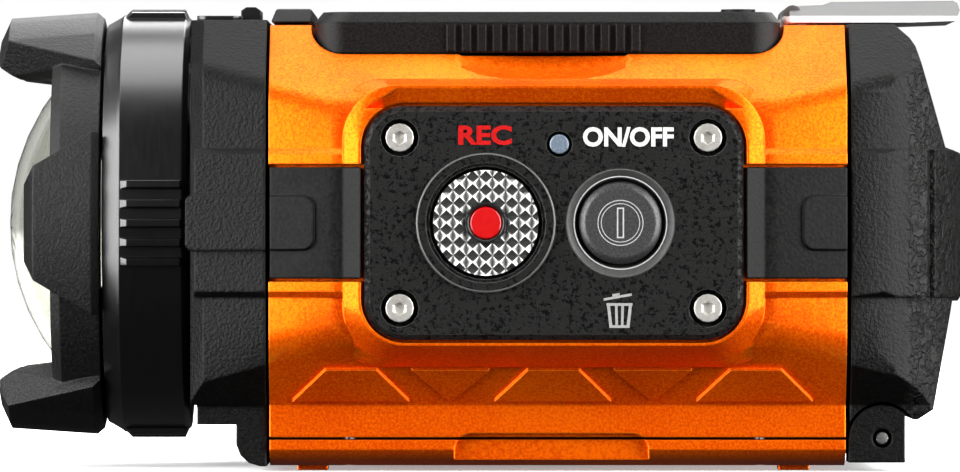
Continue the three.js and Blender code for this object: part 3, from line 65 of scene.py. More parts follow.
class Field:
    """One output of a shader node. Sums on fields become nodes of the same finish."""

    def __init__(self, tree, socket=None):
        self.tree = tree
        self.socket = socket

    def node(self, kind, settings=None, sockets=None, output=0):
        """Add a node: its settings first, then the values or fields of its sockets."""
        made = self.tree.nodes.new("ShaderNode" + kind)
        for name, value in (settings or {}).items():
            if name == "stops":
                ramp = made.color_ramp.elements
                while len(ramp) < len(value):
                    ramp.new(0.5)
                for stop, (place, shade) in zip(ramp, value):
                    stop.position = place
                    stop.color = (*shade, 1) if isinstance(shade, tuple) else (shade, shade, shade, 1)
            else:
                setattr(made, name, value)
        for name, value in (sockets or {}).items():
            if isinstance(value, Field):
                self.tree.links.new(value.socket, made.inputs[name])
            else:
                made.inputs[name].default_value = value
        return Field(self.tree, made.outputs[output])

    def maths(self, operation, first, second=0.0):
        return self.node("Math", {"operation": operation}, {0: first, 1: second})

    def __add__(self, other):
        return self.maths("ADD", self, other)

    __radd__ = __add__

    def __mul__(self, other):
        return self.maths("MULTIPLY", self, other)

    __rmul__ = __mul__

    def __sub__(self, other):
        return self.maths("SUBTRACT", self, other)

    def __rsub__(self, other):
        return self.maths("SUBTRACT", other, self)

    def stretched(self, x, y, z):
        """A place scaled along each axis."""
        return self.node("VectorMath", {"operation": "MULTIPLY"}, {0: self, 1: (x, y, z)})

    def noise(self, size, detail=2.0, roughness=0.5, distortion=0.0):
        """Cloudy variation from 0 to 1 with patches of about this size in metres."""
        return self.node("TexNoise", {}, {
            "Vector": self, "Scale": 1 / size, "Detail": detail,
            "Roughness": roughness, "Distortion": distortion,
        })

    def cells(self, size, randomness=1.0):
        """Distance to the nearest of scattered points about this far apart in metres."""
        return self.node("TexVoronoi", {}, {
            "Vector": self, "Scale": 1 / size, "Randomness": randomness,
        })

    def along(self, axis):
        """One coordinate of a place."""
        return self.node("SeparateXYZ", {}, {0: self}, axis)

    def ramp(self, *stops):
        return self.node("ValToRGB", {"stops": stops}, {0: self})

    def between(self, low, high):
        """The colour that goes from low to high as this value goes from 0 to 1."""
        ends = [(*end, 1) if isinstance(end, tuple) else end for end in (low, high)]
        return self.node("Mix", {"data_type": "RGBA"}, {0: self, 6: ends[0], 7: ends[1]}, 2)

    def bump(self, depth, strength=1.0, edge=0.0):
        """Normals for this value as a height of depth metres, over edges worn to a radius."""
        sockets = {"Height": self, "Distance": depth, "Strength": strength}
        if edge:
            sockets["Normal"] = self.node("Bevel", {"samples": 6}, {"Radius": edge})
        return self.node("Bump", {}, sockets)

    def edge_highlight(self, radius, contrast=3.0):
        """1 along convex and concave edges, fading to 0 about a radius away from them: the mask for a
        painted highlight along edges.
        """
        true = self.node("NewGeometry", {}, {}, "True Normal")
        rounded = self.node("Bevel", {"samples": 8}, {"Radius": radius})
        turn = self.node("VectorMath", {"operation": "DOT_PRODUCT"}, {0: true, 1: rounded}, "Value")
        return self.node("Math", {"operation": "MULTIPLY", "use_clamp": True}, {0: 1 - turn, 1: contrast})

    def feed(self, name):
        """Drive this socket of the finish's shader."""
        self.tree.links.new(self.socket, self.tree.nodes["Principled BSDF"].inputs[name])


def new_finish(name, **constants):
    """A material and the place on the surface, in metres, that its fields start from."""
    made = bpy.data.materials.new(name)
    made.use_nodes = True
    shader = made.node_tree.nodes["Principled BSDF"]
    for constant, value in constants.items():
        shader.inputs[constant.replace("_", " ")].default_value = value
    return made, Field(made.node_tree).node("TexCoord", {}, {}, "Object")


FLOOR_R = 14
FLOOR_SIDES = 96
floor_mesh = bpy.data.meshes.new("floor")
disc = bmesh.new()
bmesh.ops.create_circle(disc, cap_ends=True, radius=FLOOR_R, segments=FLOOR_SIDES)
disc.to_mesh(floor_mesh)
disc.free()
floor = bpy.data.objects.new("floor", floor_mesh)
floor.visible_glossy = False
floor.visible_diffuse = False
bpy.context.scene.collection.objects.link(floor)

floor_finish, place = new_finish("floor_pale", Roughness=0.9, Emission_Strength=1.0)
from_middle = place.node("VectorMath", {"operation": "LENGTH"}, {0: place}, "Value")
from_middle.ramp((0.0, 0.30), (0.10, 0.62), (0.45, 1.0)).feed("Emission Color")
(place.noise(0.4) * 0.02 + 0.93).feed("Base Color")
floor.data.materials.append(floor_finish)


def softbox(name, position, target, size, power):
    """A rectangular lamp that faces its target."""
    data = bpy.data.lights.new(name, "AREA")
    data.shape = "RECTANGLE"
    data.size, data.size_y = size
    data.energy = power
    lamp = bpy.data.objects.new(name, data)
    lamp.location = position
    aim = Vector(target) - Vector(position)
    lamp.rotation_euler = aim.to_track_quat("-Z", "Y").to_euler()
    bpy.context.scene.collection.objects.link(lamp)


softbox("softbox_above", (0, 0.10, 0.62), (0, 0.05, 0.02), (0.9, 0.42), 6.4)
softbox("softbox_left", (-0.66, -0.30, 0.14), (0, 0, 0.02), (0.95, 0.8), 23.0)
softbox("softbox_right", (0.66, -0.30, 0.14), (0, 0, 0.02), (0.95, 0.8), 25.0)
softbox("softbox_behind", (0.1, 0.75, 0.5), (0, 0, 0.02), (0.7, 0.4), 5.0)

world = bpy.data.worlds.new("studio")
world.use_nodes = True
bpy.context.scene.world = world
sky = Field(world.node_tree)
seen = sky.maths(
    "MAXIMUM",
    sky.node("LightPath", {}, {}, "Is Camera Ray"),
    sky.node("LightPath", {}, {}, "Is Transmission Ray"),
)
STUDIO_DARK = 0.05
background = world.node_tree.nodes["Background"]
background.inputs["Color"].default_value = (1, 1, 1, 1)
strength = seen * (1 - STUDIO_DARK) + STUDIO_DARK
world.node_tree.links.new(strength.socket, background.inputs["Strength"])
bpy.context.scene.view_settings.view_transform = "Standard"

# ---- Shell and base plate ---------------------------------------------------------------
# The body is an aluminium-filled moulding sprayed with metallic orange lacquer. The base
# plate closes it from below with four screws and gets the same lacquer.

MM = 0.001
SHARP_OVER = math.radians(32)
WELD_WITHIN = 0.002 * MM


def shading_group():
    """Modifier nodes that shade faces smooth and keep the sharper edges sharp."""
    group = bpy.data.node_groups.new("shade_by_angle", "GeometryNodeTree")
    group.interface.new_socket("Geometry", in_out="INPUT", socket_type="NodeSocketGeometry")
    group.interface.new_socket("Geometry", in_out="OUTPUT", socket_type="NodeSocketGeometry")
    start = group.nodes.new("NodeGroupInput")
    end = group.nodes.new("NodeGroupOutput")
    faces = group.nodes.new("GeometryNodeSetShadeSmooth")
    edges = group.nodes.new("GeometryNodeSetShadeSmooth")
    edges.domain = "EDGE"
    edges.inputs["Shade Smooth"].default_value = False
    angle = group.nodes.new("GeometryNodeInputMeshEdgeAngle")
    sharp = group.nodes.new("FunctionNodeCompare")
    sharp.inputs[1].default_value = SHARP_OVER
    group.links.new(angle.outputs[0], sharp.inputs[0])
    group.links.new(start.outputs[0], faces.inputs["Geometry"])
    group.links.new(faces.outputs[0], edges.inputs["Geometry"])
    group.links.new(sharp.outputs[0], edges.inputs["Selection"])
    group.links.new(edges.outputs[0], end.inputs[0])
    return group


shade_by_angle = shading_group()


def soften(piece, radius):
    """Round the edges as they leave the mould or the mill, and shade curved walls smooth."""
    weld = piece.modifiers.new("weld", "WELD")
    weld.merge_threshold = WELD_WITHIN
    flat = piece.modifiers.new("flat_faces", "DECIMATE")
    flat.decimate_type = "DISSOLVE"
    flat.angle_limit = math.radians(1)
    if radius:
        bevel = piece.modifiers.new("edge_radius", "BEVEL")
        bevel.width = radius
        bevel.segments = 3
        bevel.limit_method = "ANGLE"
        bevel.angle_limit = math.radians(30)
        bevel.use_clamp_overlap = True
    smooth = piece.modifiers.new("shading", "NODES")
    smooth.node_group = shade_by_angle
    level = piece.modifiers.new("level_faces", "WEIGHTED_NORMAL")
    level.keep_sharp = True


def dress(finish, radius, *names):
    """Give CAD pieces a finish and edge radii."""
    for name in names:
        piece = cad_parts[name]
        piece.data.materials.clear()
        piece.data.materials.append(finish)
        soften(piece, radius)


lacquer, place = new_finish(
    "orange_lacquer", Metallic=0.6, Coat_Roughness=0.22, Coat_IOR=1.4, Specular_IOR_Level=0.06,
)
fleck = place.noise(0.24 * MM, 2.0, 0.65)
cloud = place.noise(9 * MM, 3.0)
tone = (fleck * 0.72 + cloud * 0.28).ramp((0.40, 0.0), (0.60, 1.0))
lacquer_colour = tone.between((0.80, 0.068, 0.0003), (1.0, 0.150, 0.0006))
# A painted highlight lightens the lacquer along its edges.
place.edge_highlight(0.16 * MM).between(lacquer_colour, (1.0, 0.30, 0.02)).feed("Base Color")
(fleck * 0.16 + 0.30).feed("Roughness")
(cloud * 0.03).feed("Coat Weight")
fleck.bump(0.03 * MM, 0.45, 0.22 * MM).feed("Normal")
dress(lacquer, 0.28 * MM, "shell")
dress(lacquer, 0.2 * MM, "base_plate")

# ---- Front housing, rear door and hinge ears ---------------------------------------------
# The ends are glass-filled black polyamide. Their mould is etched with a coarse leather
# grain towards the ends and a fine orange-peel grain on the sides.

END_GRAIN_FROM = 39.4 * MM
grained, place = new_finish("black_grained", Specular_IOR_Level=0.12)
wrinkle = place.noise(0.9 * MM, 3.0, 0.55, 1.2)
pebble = place.noise(0.32 * MM, 3.0, 0.6)
reach = place.along("X")
ragged = (place.noise(2 * MM) - 0.5) * (0.6 * MM)
ends = reach.node("MapRange", {}, {
    0: reach.maths("ABSOLUTE", reach) + ragged,
    1: END_GRAIN_FROM - 0.4 * MM, 2: END_GRAIN_FROM + 0.4 * MM,
})
coarse = wrinkle.ramp((0.40, 0.0), (0.50, 0.55), (0.62, 1.0))
fine = pebble.ramp((0.35, 0.0), (0.68, 1.0))
height = coarse * ends + fine * (1 - ends) * 0.35
height.bump(0.13 * MM, 0.8, 0.35 * MM).feed("Normal")
grain_colour = height.between((0.0015, 0.0015, 0.0014), (0.008, 0.008, 0.0077))
# A painted highlight lightens the grained plastic towards grey along its edges.
place.edge_highlight(0.15 * MM, 2.0).between(grain_colour, (0.045, 0.045, 0.043)).feed("Base Color")
(pebble * 0.16 + 0.36).feed("Roughness")
dress(grained, 0.4 * MM, "front_housing", "rear_door")
dress(grained, 0.25 * MM, "hinge_ear_left", "hinge_ear_right")

# ---- Belt inserts and grip panel ----------------------------------------------------------
# Black inserts lie in the belt between the plate and the ends, pressed in from outside. The
# far side has a ribbed rubber grip panel where the near side has its controls.

moulded, place = new_finish("black_moulded", Specular_IOR_Level=0.09)
speck = place.noise(0.3 * MM, 3.0, 0.6)
speck_tone = speck.ramp((0.4, 0.0), (0.62, 1.0))
speck_tone.between((0.004, 0.004, 0.004), (0.010, 0.0098, 0.0094)).feed("Base Color")
(speck * 0.2 + 0.36).feed("Roughness")
speck.bump(0.05 * MM, 0.6, 0.15 * MM).feed("Normal")
dress(moulded, 0.15 * MM, "front_band_left", "front_band_right", "rear_band_left", "rear_band_right")

rubber, place = new_finish("black_rubber", Specular_IOR_Level=0.2)
skin = place.noise(0.25 * MM, 3.0, 0.6)
skin.between((0.006, 0.006, 0.0065), (0.011, 0.011, 0.0115)).feed("Base Color")
(skin * 0.15 + 0.62).feed("Roughness")
skin.bump(0.04 * MM, 0.5).feed("Normal")
dress(rubber, 0.15 * MM, "grip_panel", "door_seal", "dome_seal")

# ---- Control plate ----------------------------------------------------------------------
# A black coated plate carries the controls. Its coating is mottled, with dark blotches just
# under half a millimetre across, and it is held by four socket screws in counterbores.

mottled, place = new_finish("black_mottled", Specular_IOR_Level=0.09)
blotch = place.noise(0.45 * MM, 4.0, 0.7)
grit = place.noise(0.22 * MM, 2.0, 0.6)
mottle = (blotch * 0.8 + grit * 0.2).ramp((0.44, 0.0), (0.52, 1.0))
mottle_colour = mottle.between((0.0002, 0.0002, 0.0002), (0.013, 0.0127, 0.0122))
# A painted highlight lightens the plate's coating along its edges, standing in for the thin bright line at
# its border.
place.edge_highlight(0.12 * MM, 2.0).between(mottle_colour, (0.16, 0.158, 0.155)).feed("Base Color")
(0.52 - mottle * 0.16).feed("Roughness")
(mottle + grit * 0.4).bump(0.09 * MM, 0.8, 0.2 * MM).feed("Normal")
dress(mottled, 0.22 * MM, "control_plate")

socket_steel, place = new_finish("steel_socket", Metallic=0.7)
turning = place.noise(0.4 * MM, 4.0, 0.7)
turning.between((0.50, 0.48, 0.44), (0.90, 0.88, 0.82)).feed("Base Color")
(turning * 0.25 + 0.2).feed("Roughness")
turning.bump(0.05 * MM, 0.6).feed("Normal")
PLATE_SCREWS = [f"plate_screw_{i}" for i in range(1, 5)]
dress(socket_steel, 0.09 * MM, *PLATE_SCREWS)

lamp_lens, place = new_finish("lamp_lens", Transmission_Weight=0.15, Coat_Weight=0.6, Coat_Roughness=0.08)
frost = place.noise(0.3 * MM, 2.0)
frost.between((0.11, 0.145, 0.19), (0.20, 0.25, 0.31)).feed("Base Color")
(frost * 0.1 + 0.22).feed("Roughness")
dress(lamp_lens, 0.15 * MM, "status_lamp")

# ---- Markings on the plate ----------------------------------------------------------------
# The plain words for the two buttons and a waste-bin sign are printed in thick ink. Each
# stands a few hundredths of a millimetre above the plate.

PLATE_FACE = -32.7 * MM
INK = 0.04 * MM
LETTER_HEIGHT = 1.8 * MM
LETTER_WEIGHT = 0.035


def link_piece(name, mesh, body, finish):
    """A new piece of this mesh and finish that rides on a CAD body."""
    piece = bpy.data.objects.new(name, mesh)
    bpy.context.scene.collection.objects.link(piece)
    mesh.materials.clear()
    mesh.materials.append(finish)
    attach(piece, body)


def printed(name, outlines, face, body, finish, up="Z", thick=INK):
    """Flat shapes as a thin layer of ink on the side, or on the top when up is Y."""
    shape = bmesh.new()
    for points in outlines:
        rings = []
        for rise in (0.0, thick):
            if up == "Z":
                rings.append([shape.verts.new((u, face - rise, v)) for u, v in points])
            else:
                rings.append([shape.verts.new((u, v, face + rise)) for u, v in points])
        shape.faces.new(rings[1])
        shape.faces.new(list(reversed(rings[0])))
        for i in range(len(points)):
            j = (i + 1) % len(points)
            shape.faces.new((rings[0][i], rings[0][j], rings[1][j], rings[1][i]))
    bmesh.ops.recalc_face_normals(shape, faces=shape.faces)
    mesh = bpy.data.meshes.new(name)
    shape.to_mesh(mesh)
    shape.free()
    link_piece(name, mesh, body, finish)


def lettering(name, words, centre, base, width, finish):
    """Words on the plate, drawn to an exact width and height."""
    text = bpy.data.curves.new(name + "_curve", "FONT")
    text.body = words
    text.offset = LETTER_WEIGHT
    text.extrude = 0.5
    text.resolution_u = 4
    drawn = bpy.data.objects.new(name + "_drawn", text)
    bpy.context.scene.collection.objects.link(drawn)
    shown = drawn.evaluated_get(bpy.context.evaluated_depsgraph_get())
    mesh = bpy.data.meshes.new_from_object(shown)
    bpy.data.objects.remove(drawn)
    bpy.data.curves.remove(text)
    mesh.name = name
    low = Vector([min(v.co[i] for v in mesh.vertices) for i in range(3)])
    high = Vector([max(v.co[i] for v in mesh.vertices) for i in range(3)])
    for v in mesh.vertices:
        share = [(v.co[i] - low[i]) / (high[i] - low[i]) for i in range(3)]
        v.co = (
            centre + (share[0] - 0.5) * width,
            PLATE_FACE + INK * 0.1 - share[2] * INK,
            base + share[1] * LETTER_HEIGHT,
        )
    link_piece(name, mesh, "camera_body", finish)


def ink(name, thin, full):
    """A printing ink whose cover varies between two colours."""
    made, place = new_finish(name, Specular_IOR_Level=0.2)
    grain = place.noise(0.25 * MM, 3.0)
    grain.ramp((0.3, 0.0), (0.7, 1.0)).between(thin, full).feed("Base Color")
    (grain * 0.2 + 0.4).feed("Roughness")
    return made


red_ink = ink("ink_red", (0.30, 0.002, 0.002), (0.50, 0.003, 0.003))
white_ink = ink("ink_white", (0.50, 0.49, 0.47), (0.72, 0.71, 0.69))
grey_ink = ink("ink_grey", (0.24, 0.24, 0.235), (0.34, 0.34, 0.33))

lettering("label_record", "REC", 0.56 * MM, 30.02 * MM, 4.9 * MM, red_ink)
lettering("label_power", "ON/OFF", 13.66 * MM, 29.86 * MM, 8.3 * MM, white_ink)


def bin_sign(x, z):
    """Outlines of a waste bin with an open lid, with its foot at (x, z)."""
    strokes = [
        [(-0.92, 0), (0.92, 0), (0.94, 0.24), (-0.94, 0.24)],
        [(-0.94, 0.24), (-0.66, 0.24), (-0.86, 2.02), (-1.14, 2.02)],
        [(0.66, 0.24), (0.94, 0.24), (1.14, 2.02), (0.86, 2.02)],
        [(-0.37, 0.24), (-0.13, 0.24), (-0.17, 2.02), (-0.41, 2.02)],
        [(0.13, 0.24), (0.37, 0.24), (0.41, 2.02), (0.17, 2.02)],
        [(-1.18, 2.02), (1.18, 2.02), (1.2, 2.26), (-1.2, 2.26)],
        [(-1.42, 2.48), (1.14, 2.94), (1.10, 3.16), (-1.46, 2.70)],
        [(-0.62, 2.86), (0.04, 2.98), (0.0, 3.2), (-0.66, 3.08)],
    ]
    return [[(x + u * MM, z + v * MM) for u, v in points] for points in strokes]


printed("sign_delete", bin_sign(12.85 * MM, 13.3 * MM), PLATE_FACE, "camera_body", grey_ink)

# ---- Record button ------------------------------------------------------------------------
# A bright metal cap is cut with a knurl of square pyramids, so that a gloved thumb finds it.
# A red indicator sits in a black collar in its middle, and the cap slides in the plate.

KNURL_PITCH = 1.2 * MM
KNURL_RISE = 0.54 * MM
TURN_STEPS = 64


def carve(piece, tool, operation):
    """Cut, join or intersect a piece's mesh with a tool's, and drop the tool."""
    step = piece.modifiers.new("carve", "BOOLEAN")
    step.operation = operation
    step.object = tool
    step.solver = "EXACT"
    bpy.context.view_layer.update()
    shown = piece.evaluated_get(bpy.context.evaluated_depsgraph_get())
    mesh = bpy.data.meshes.new_from_object(shown)
    piece.modifiers.clear()
    piece.data = mesh
    bpy.data.objects.remove(tool)


def loose_object(name, shape):
    mesh = bpy.data.meshes.new(name)
    shape.to_mesh(mesh)
    shape.free()
    made = bpy.data.objects.new(name, mesh)
    bpy.context.scene.collection.objects.link(made)
    return made


def lathe(name, profile, centre):
    """A closed shape turned about Y, from (distance along Y, radius) points."""
    shape = bmesh.new()
    rings = []
    for along, radius in profile:
        ring = []
        for i in range(TURN_STEPS if radius else 1):
            turn = 2 * math.pi * i / TURN_STEPS
            spot = Vector((radius * math.sin(turn), along, radius * math.cos(turn)))
            ring.append(shape.verts.new(spot + Vector(centre)))
        rings.append(ring)
    closed = len(rings[0]) > 1
    pairs = list(zip(rings, rings[1:])) + ([(rings[-1], rings[0])] if closed else [])
    for one, two in pairs:
        for i in range(TURN_STEPS):
            j = (i + 1) % TURN_STEPS
            corners = [one[i % len(one)], one[j % len(one)], two[j % len(two)], two[i % len(two)]]
            corners = list(dict.fromkeys(corners))
            if len(corners) > 2:
                shape.faces.new(corners)
    bmesh.ops.recalc_face_normals(shape, faces=shape.faces)
    return loose_object(name, shape)


def knurl_block(name, centre_x, centre_z, reach, face, back):
    """A closed block whose face is covered with square pyramids."""
    count = math.ceil(reach / KNURL_PITCH) + 1
    shape = bmesh.new()
    corners, under = {}, {}
    for i in range(-count, count + 1):
        for j in range(-count, count + 1):
            x, z = centre_x + (i - 0.5) * KNURL_PITCH, centre_z + (j - 0.5) * KNURL_PITCH
            corners[i, j] = shape.verts.new((x, face + KNURL_RISE, z))
            under[i, j] = shape.verts.new((x, back, z))
    for i in range(-count, count):
        for j in range(-count, count):
            peak = shape.verts.new((centre_x + i * KNURL_PITCH, face, centre_z + j * KNURL_PITCH))
            ring = [corners[i, j], corners[i + 1, j], corners[i + 1, j + 1], corners[i, j + 1]]
            for k in range(4):
                shape.faces.new((ring[k], ring[(k + 1) % 4], peak))
            shape.faces.new((under[i, j], under[i, j + 1], under[i + 1, j + 1], under[i + 1, j]))
    for i in range(-count, count):
        for a, b in (((i, -count), (i + 1, -count)), ((i + 1, count), (i, count)),
                     ((-count, i + 1), (-count, i)), ((count, i), (count, i + 1))):
            shape.faces.new((corners[a], under[a], under[b], corners[b]))
    bmesh.ops.recalc_face_normals(shape, faces=shape.faces)
    return loose_object(name, shape)


rec_low, rec_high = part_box("rec_button")
rec_middle = (rec_low + rec_high) / 2
REC_R = 4.87 * MM
REC_FACE = rec_low.y
DOT_COLLAR_R = 1.94 * MM

cap_finish, place = new_finish("cap_silver", Metallic=1.0)
shine = place.noise(0.2 * MM, 3.0, 0.6)
shine.between((0.30, 0.30, 0.295), (0.42, 0.42, 0.413)).feed("Base Color")
(shine * 0.16 + 0.24).feed("Roughness")
shine.bump(0.02 * MM, 0.4).feed("Normal")

rec_cap = knurl_block("rec_cap", rec_middle.x, rec_middle.z, REC_R, REC_FACE, rec_high.y - 0.5 * MM)
REC_CENTRE = (rec_middle.x, 0, rec_middle.z)
BEFORE_FACE = REC_FACE - 1 * MM
cap_r = REC_R - 0.05 * MM
cap_back = rec_high.y - 0.1 * MM
well_back = REC_FACE + 2 * MM
carve(rec_cap, lathe("cap_outline", [
    (BEFORE_FACE, 0), (BEFORE_FACE, cap_r), (cap_back, cap_r), (cap_back, 0),
], REC_CENTRE), "INTERSECT")
carve(rec_cap, lathe("cap_well", [
    (BEFORE_FACE, 0), (BEFORE_FACE, DOT_COLLAR_R), (well_back, DOT_COLLAR_R), (well_back, 0),
], REC_CENTRE), "DIFFERENCE")
rec_cap.data.materials.append(cap_finish)
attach(rec_cap, "rec_button")
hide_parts("rec_button")

gloss_black, place = new_finish("black_gloss", Specular_IOR_Level=0.5)
haze = place.noise(0.6 * MM, 3.0)
haze.between((0.006, 0.006, 0.006), (0.012, 0.012, 0.012)).feed("Base Color")
(haze * 0.12 + 0.2).feed("Roughness")

collar = lathe("rec_collar", [
    (REC_FACE + 0.15 * MM, 1.56 * MM), (REC_FACE + 0.05 * MM, 1.66 * MM), (REC_FACE + 0.05 * MM, 1.82 * MM),
    (REC_FACE + 0.15 * MM, 1.9 * MM), (REC_FACE + 1.7 * MM, 1.9 * MM), (REC_FACE + 1.7 * MM, 1.56 * MM),
], REC_CENTRE)
collar.data.materials.append(gloss_black)
soften(collar, 0)
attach(collar, "rec_button")

red_plastic, place = new_finish("red_plastic", Coat_Weight=0.5, Coat_Roughness=0.1)
depth = place.noise(0.8 * MM, 3.0)
depth.between((0.36, 0.0008, 0.001), (0.52, 0.001, 0.002)).feed("Base Color")
(depth * 0.12 + 0.25).feed("Roughness")
dress(red_plastic, 0.2 * MM, "rec_dot")

# ---- Power button -------------------------------------------------------------------------
# A dark anodised cap with a turned edge and a power sign, a ring round a bar, cut through to
# bright metal. The cuts are laid on as bright lines a few hundredths of a millimetre thick,
# and the cap slides in the plate.

power_low, power_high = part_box("power_button")
power_middle = (power_low + power_high) / 2
POWER_R = (power_high.x - power_low.x) / 2
POWER_FACE = power_low.y

anodised, place = new_finish("anodised_dark", Metallic=0.75)
satin = place.noise(0.18 * MM, 3.0, 0.65)
satin_tone = satin.ramp((0.35, 0.0), (0.65, 1.0))
satin_tone.between((0.045, 0.044, 0.045), (0.095, 0.093, 0.095)).feed("Base Color")
(satin * 0.2 + 0.36).feed("Roughness")
satin.bump(0.02 * MM, 0.5).feed("Normal")
dress(anodised, 0.18 * MM, "power_button")

cut_metal, place = new_finish("cut_metal", Metallic=0.2)
bright = place.noise(0.3 * MM, 3.0)
bright.between((0.38, 0.38, 0.38), (0.62, 0.62, 0.62)).feed("Base Color")
(bright * 0.15 + 0.22).feed("Roughness")


def ring_mark(name, inner, outer):
    """A fine raised ring on the power cap."""
    front, back = POWER_FACE - 0.03 * MM, POWER_FACE + 0.02 * MM
    ring = lathe(name, [
        (back, inner), (front, inner), (front, outer), (back, outer),
    ], (power_middle.x, 0, power_middle.z))
    ring.data.materials.append(cut_metal)
    soften(ring, 0)
    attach(ring, "power_button")


ring_mark("power_mark_outer", 2.02 * MM, 2.1 * MM)
ring_mark("power_mark_inner", 1.72 * MM, 1.79 * MM)
ring_mark("power_edge_ring", POWER_R - 0.3 * MM, POWER_R - 0.2 * MM)


def frame_outline(x, z, width, height, line):
    """A hollow upright rectangle as four strokes."""
    a, b, c, d = x - width / 2, x + width / 2, z - height / 2, z + height / 2
    return [
        [(a, c), (b, c), (b, c + line), (a, c + line)],
        [(a, d - line), (b, d - line), (b, d), (a, d)],
        [(a, c + line), (a + line, c + line), (a + line, d - line), (a, d - line)],
        [(b - line, c + line), (b, c + line), (b, d - line), (b - line, d - line)],
    ]


power_bar = frame_outline(power_middle.x, power_middle.z, 0.66 * MM, 2.8 * MM, 0.13 * MM)
printed("power_mark_bar", power_bar, POWER_FACE, "power_button", cut_metal)

satin_ring, place = new_finish("ring_satin", Metallic=0.6)
cast = place.noise(0.3 * MM, 3.0, 0.6)
cast.between((0.10, 0.10, 0.098), (0.20, 0.20, 0.195)).feed("Base Color")
(cast * 0.2 + 0.34).feed("Roughness")


def plate_ring(name, profile, spot):
    """A turned ring pressed into the plate round a button."""
    ring = lathe(name, profile, (spot.x, 0, spot.z))
    ring.data.materials.append(satin_ring)
    soften(ring, 0)
    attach(ring, "camera_body")


WELL_R = 4.96 * MM
well_floor, well_lip = PLATE_FACE + 0.76 * MM, PLATE_FACE - 0.03 * MM
plate_ring("power_well_ring", [
    (well_floor, WELL_R - 0.82 * MM), (well_lip, WELL_R - 0.1 * MM),
    (well_lip, WELL_R), (well_floor, WELL_R),
], power_middle)

EDGE_R = 6.28 * MM
edge_foot, edge_top = PLATE_FACE - 0.28 * MM, PLATE_FACE - 0.36 * MM
plate_ring("rec_ring_edge", [
    (edge_foot, EDGE_R - 0.08 * MM), (edge_top, EDGE_R - 0.02 * MM),
    (edge_top, EDGE_R + 0.02 * MM), (edge_foot, EDGE_R + 0.1 * MM),
], rec_middle)

# ---- Display, its frame and keys ------------------------------------------------------------
# The display lies in the top, under a clear window in a black frame with ribbed grip edges.
# Four keys behind it work the menus through a board under the frame.

frame_black, place = new_finish("black_frame", Specular_IOR_Level=0.12)
peel = place.noise(0.22 * MM, 3.0, 0.6)
peel_tone = peel.ramp((0.38, 0.0), (0.62, 1.0))
peel_tone.between((0.003, 0.003, 0.0029), (0.009, 0.0088, 0.0085)).feed("Base Color")
(peel * 0.16 + 0.36).feed("Roughness")
peel.bump(0.03 * MM, 0.5, 0.18 * MM).feed("Normal")
dress(frame_black, 0.22 * MM, "display_frame", "top_front_cover")

window_glass, place = new_finish("window_glass", Transmission_Weight=0.9, IOR=1.3)
smear = place.noise(6 * MM, 3.0)
smear.between((0.70, 0.72, 0.74), (0.80, 0.82, 0.84)).feed("Base Color")
(smear * 0.04 + 0.03).feed("Roughness")
dress(window_glass, 0.12 * MM, "display_window")

screen, place = new_finish("screen_dark", Coat_Weight=0.1, Coat_Roughness=0.1, Specular_IOR_Level=0.2)
column = place.stretched(1, 0, 0).noise(0.2 * MM, 1.0)
column.between((0.010, 0.011, 0.013), (0.016, 0.018, 0.021)).feed("Base Color")
(column * 0.08 + 0.16).feed("Roughness")
dress(screen, 0, "display_panel")

KEYS = ("menu_button", "up_button", "down_button", "playback_button")
dress(moulded, 0.16 * MM, *KEYS)

SIGN_R = 0.8 * MM


def menu_sign(x, y):
    """Three lines, one over the other."""
    half, thick = 0.75 * MM, 0.2 * MM
    return [
        [(x - half, foot), (x - half, foot + thick), (x + half, foot + thick), (x + half, foot)]
        for foot in (y - 0.6 * MM, y - 0.1 * MM, y + 0.4 * MM)
    ]


def arrow_sign(x, y, turn):
    """A triangle that points a number of degrees round from the rear."""
    angles = [math.radians(turn + step) for step in (0, 130, 230)]
    return [[(x + SIGN_R * math.cos(angle), y + SIGN_R * math.sin(angle)) for angle in angles]]


ARROW_TURNS = {"up_button": 180, "down_button": 0, "playback_button": 90}
for name in KEYS:
    low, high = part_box(name)
    x, y = (low.x + high.x) / 2, (low.y + high.y) / 2
    shapes = arrow_sign(x, y, ARROW_TURNS[name]) if name in ARROW_TURNS else menu_sign(x, y)
    printed("sign_" + name, shapes, high.z, name, white_ink, up="Y", thick=0.03 * MM)

# ---- Lens ring and ring lock ----------------------------------------------------------------
# The lens port turns in a bayonet. Its grip ring is turned from satin black stock with four
# groups of ribs, and the lock on top of the housing slides sideways to free it.

satin_black, place = new_finish("black_satin", Specular_IOR_Level=0.6, Coat_Weight=0.25, Coat_Roughness=0.2)
drag = place.stretched(1, 0.15, 0.15).noise(0.3 * MM, 3.0, 0.6)
drag.between((0.0015, 0.0015, 0.0015), (0.004, 0.0039, 0.0039)).feed("Base Color")
(drag * 0.12 + 0.26).feed("Roughness")
place.noise(0.16 * MM, 2.0).bump(0.012 * MM, 0.4, 0.15 * MM).feed("Normal")
dress(satin_black, 0.2 * MM, "lens_ring", "ring_lock")

guard_black, place = new_finish("black_sanded", Specular_IOR_Level=0.25)
sand = place.noise(0.28 * MM, 3.0, 0.7)
sand_tone = sand.ramp((0.36, 0.0), (0.66, 1.0))
sand_tone.between((0.003, 0.003, 0.0029), (0.013, 0.0128, 0.0125)).feed("Base Color")
(sand * 0.2 + 0.38).feed("Roughness")
sand.bump(0.12 * MM, 0.9, 0.25 * MM).feed("Normal")
dress(guard_black, 0.3 * MM, "lens_guard")

# ---- Dome, its retainer and the lens --------------------------------------------------------
# A clear domed window seals the port and is clamped by a threaded retainer. The lens behind it is coated,
# and its purple and green colour is a painted reflection of that coating.

clear, place = new_finish("dome_clear", Transmission_Weight=1.0, IOR=1.42)
veil = place.noise(10 * MM, 3.0)
veil.between((0.62, 0.63, 0.57), (0.70, 0.705, 0.645)).feed("Base Color")
(veil * 0.02 + 0.01).feed("Roughness")
dress(clear, 0, "dome")

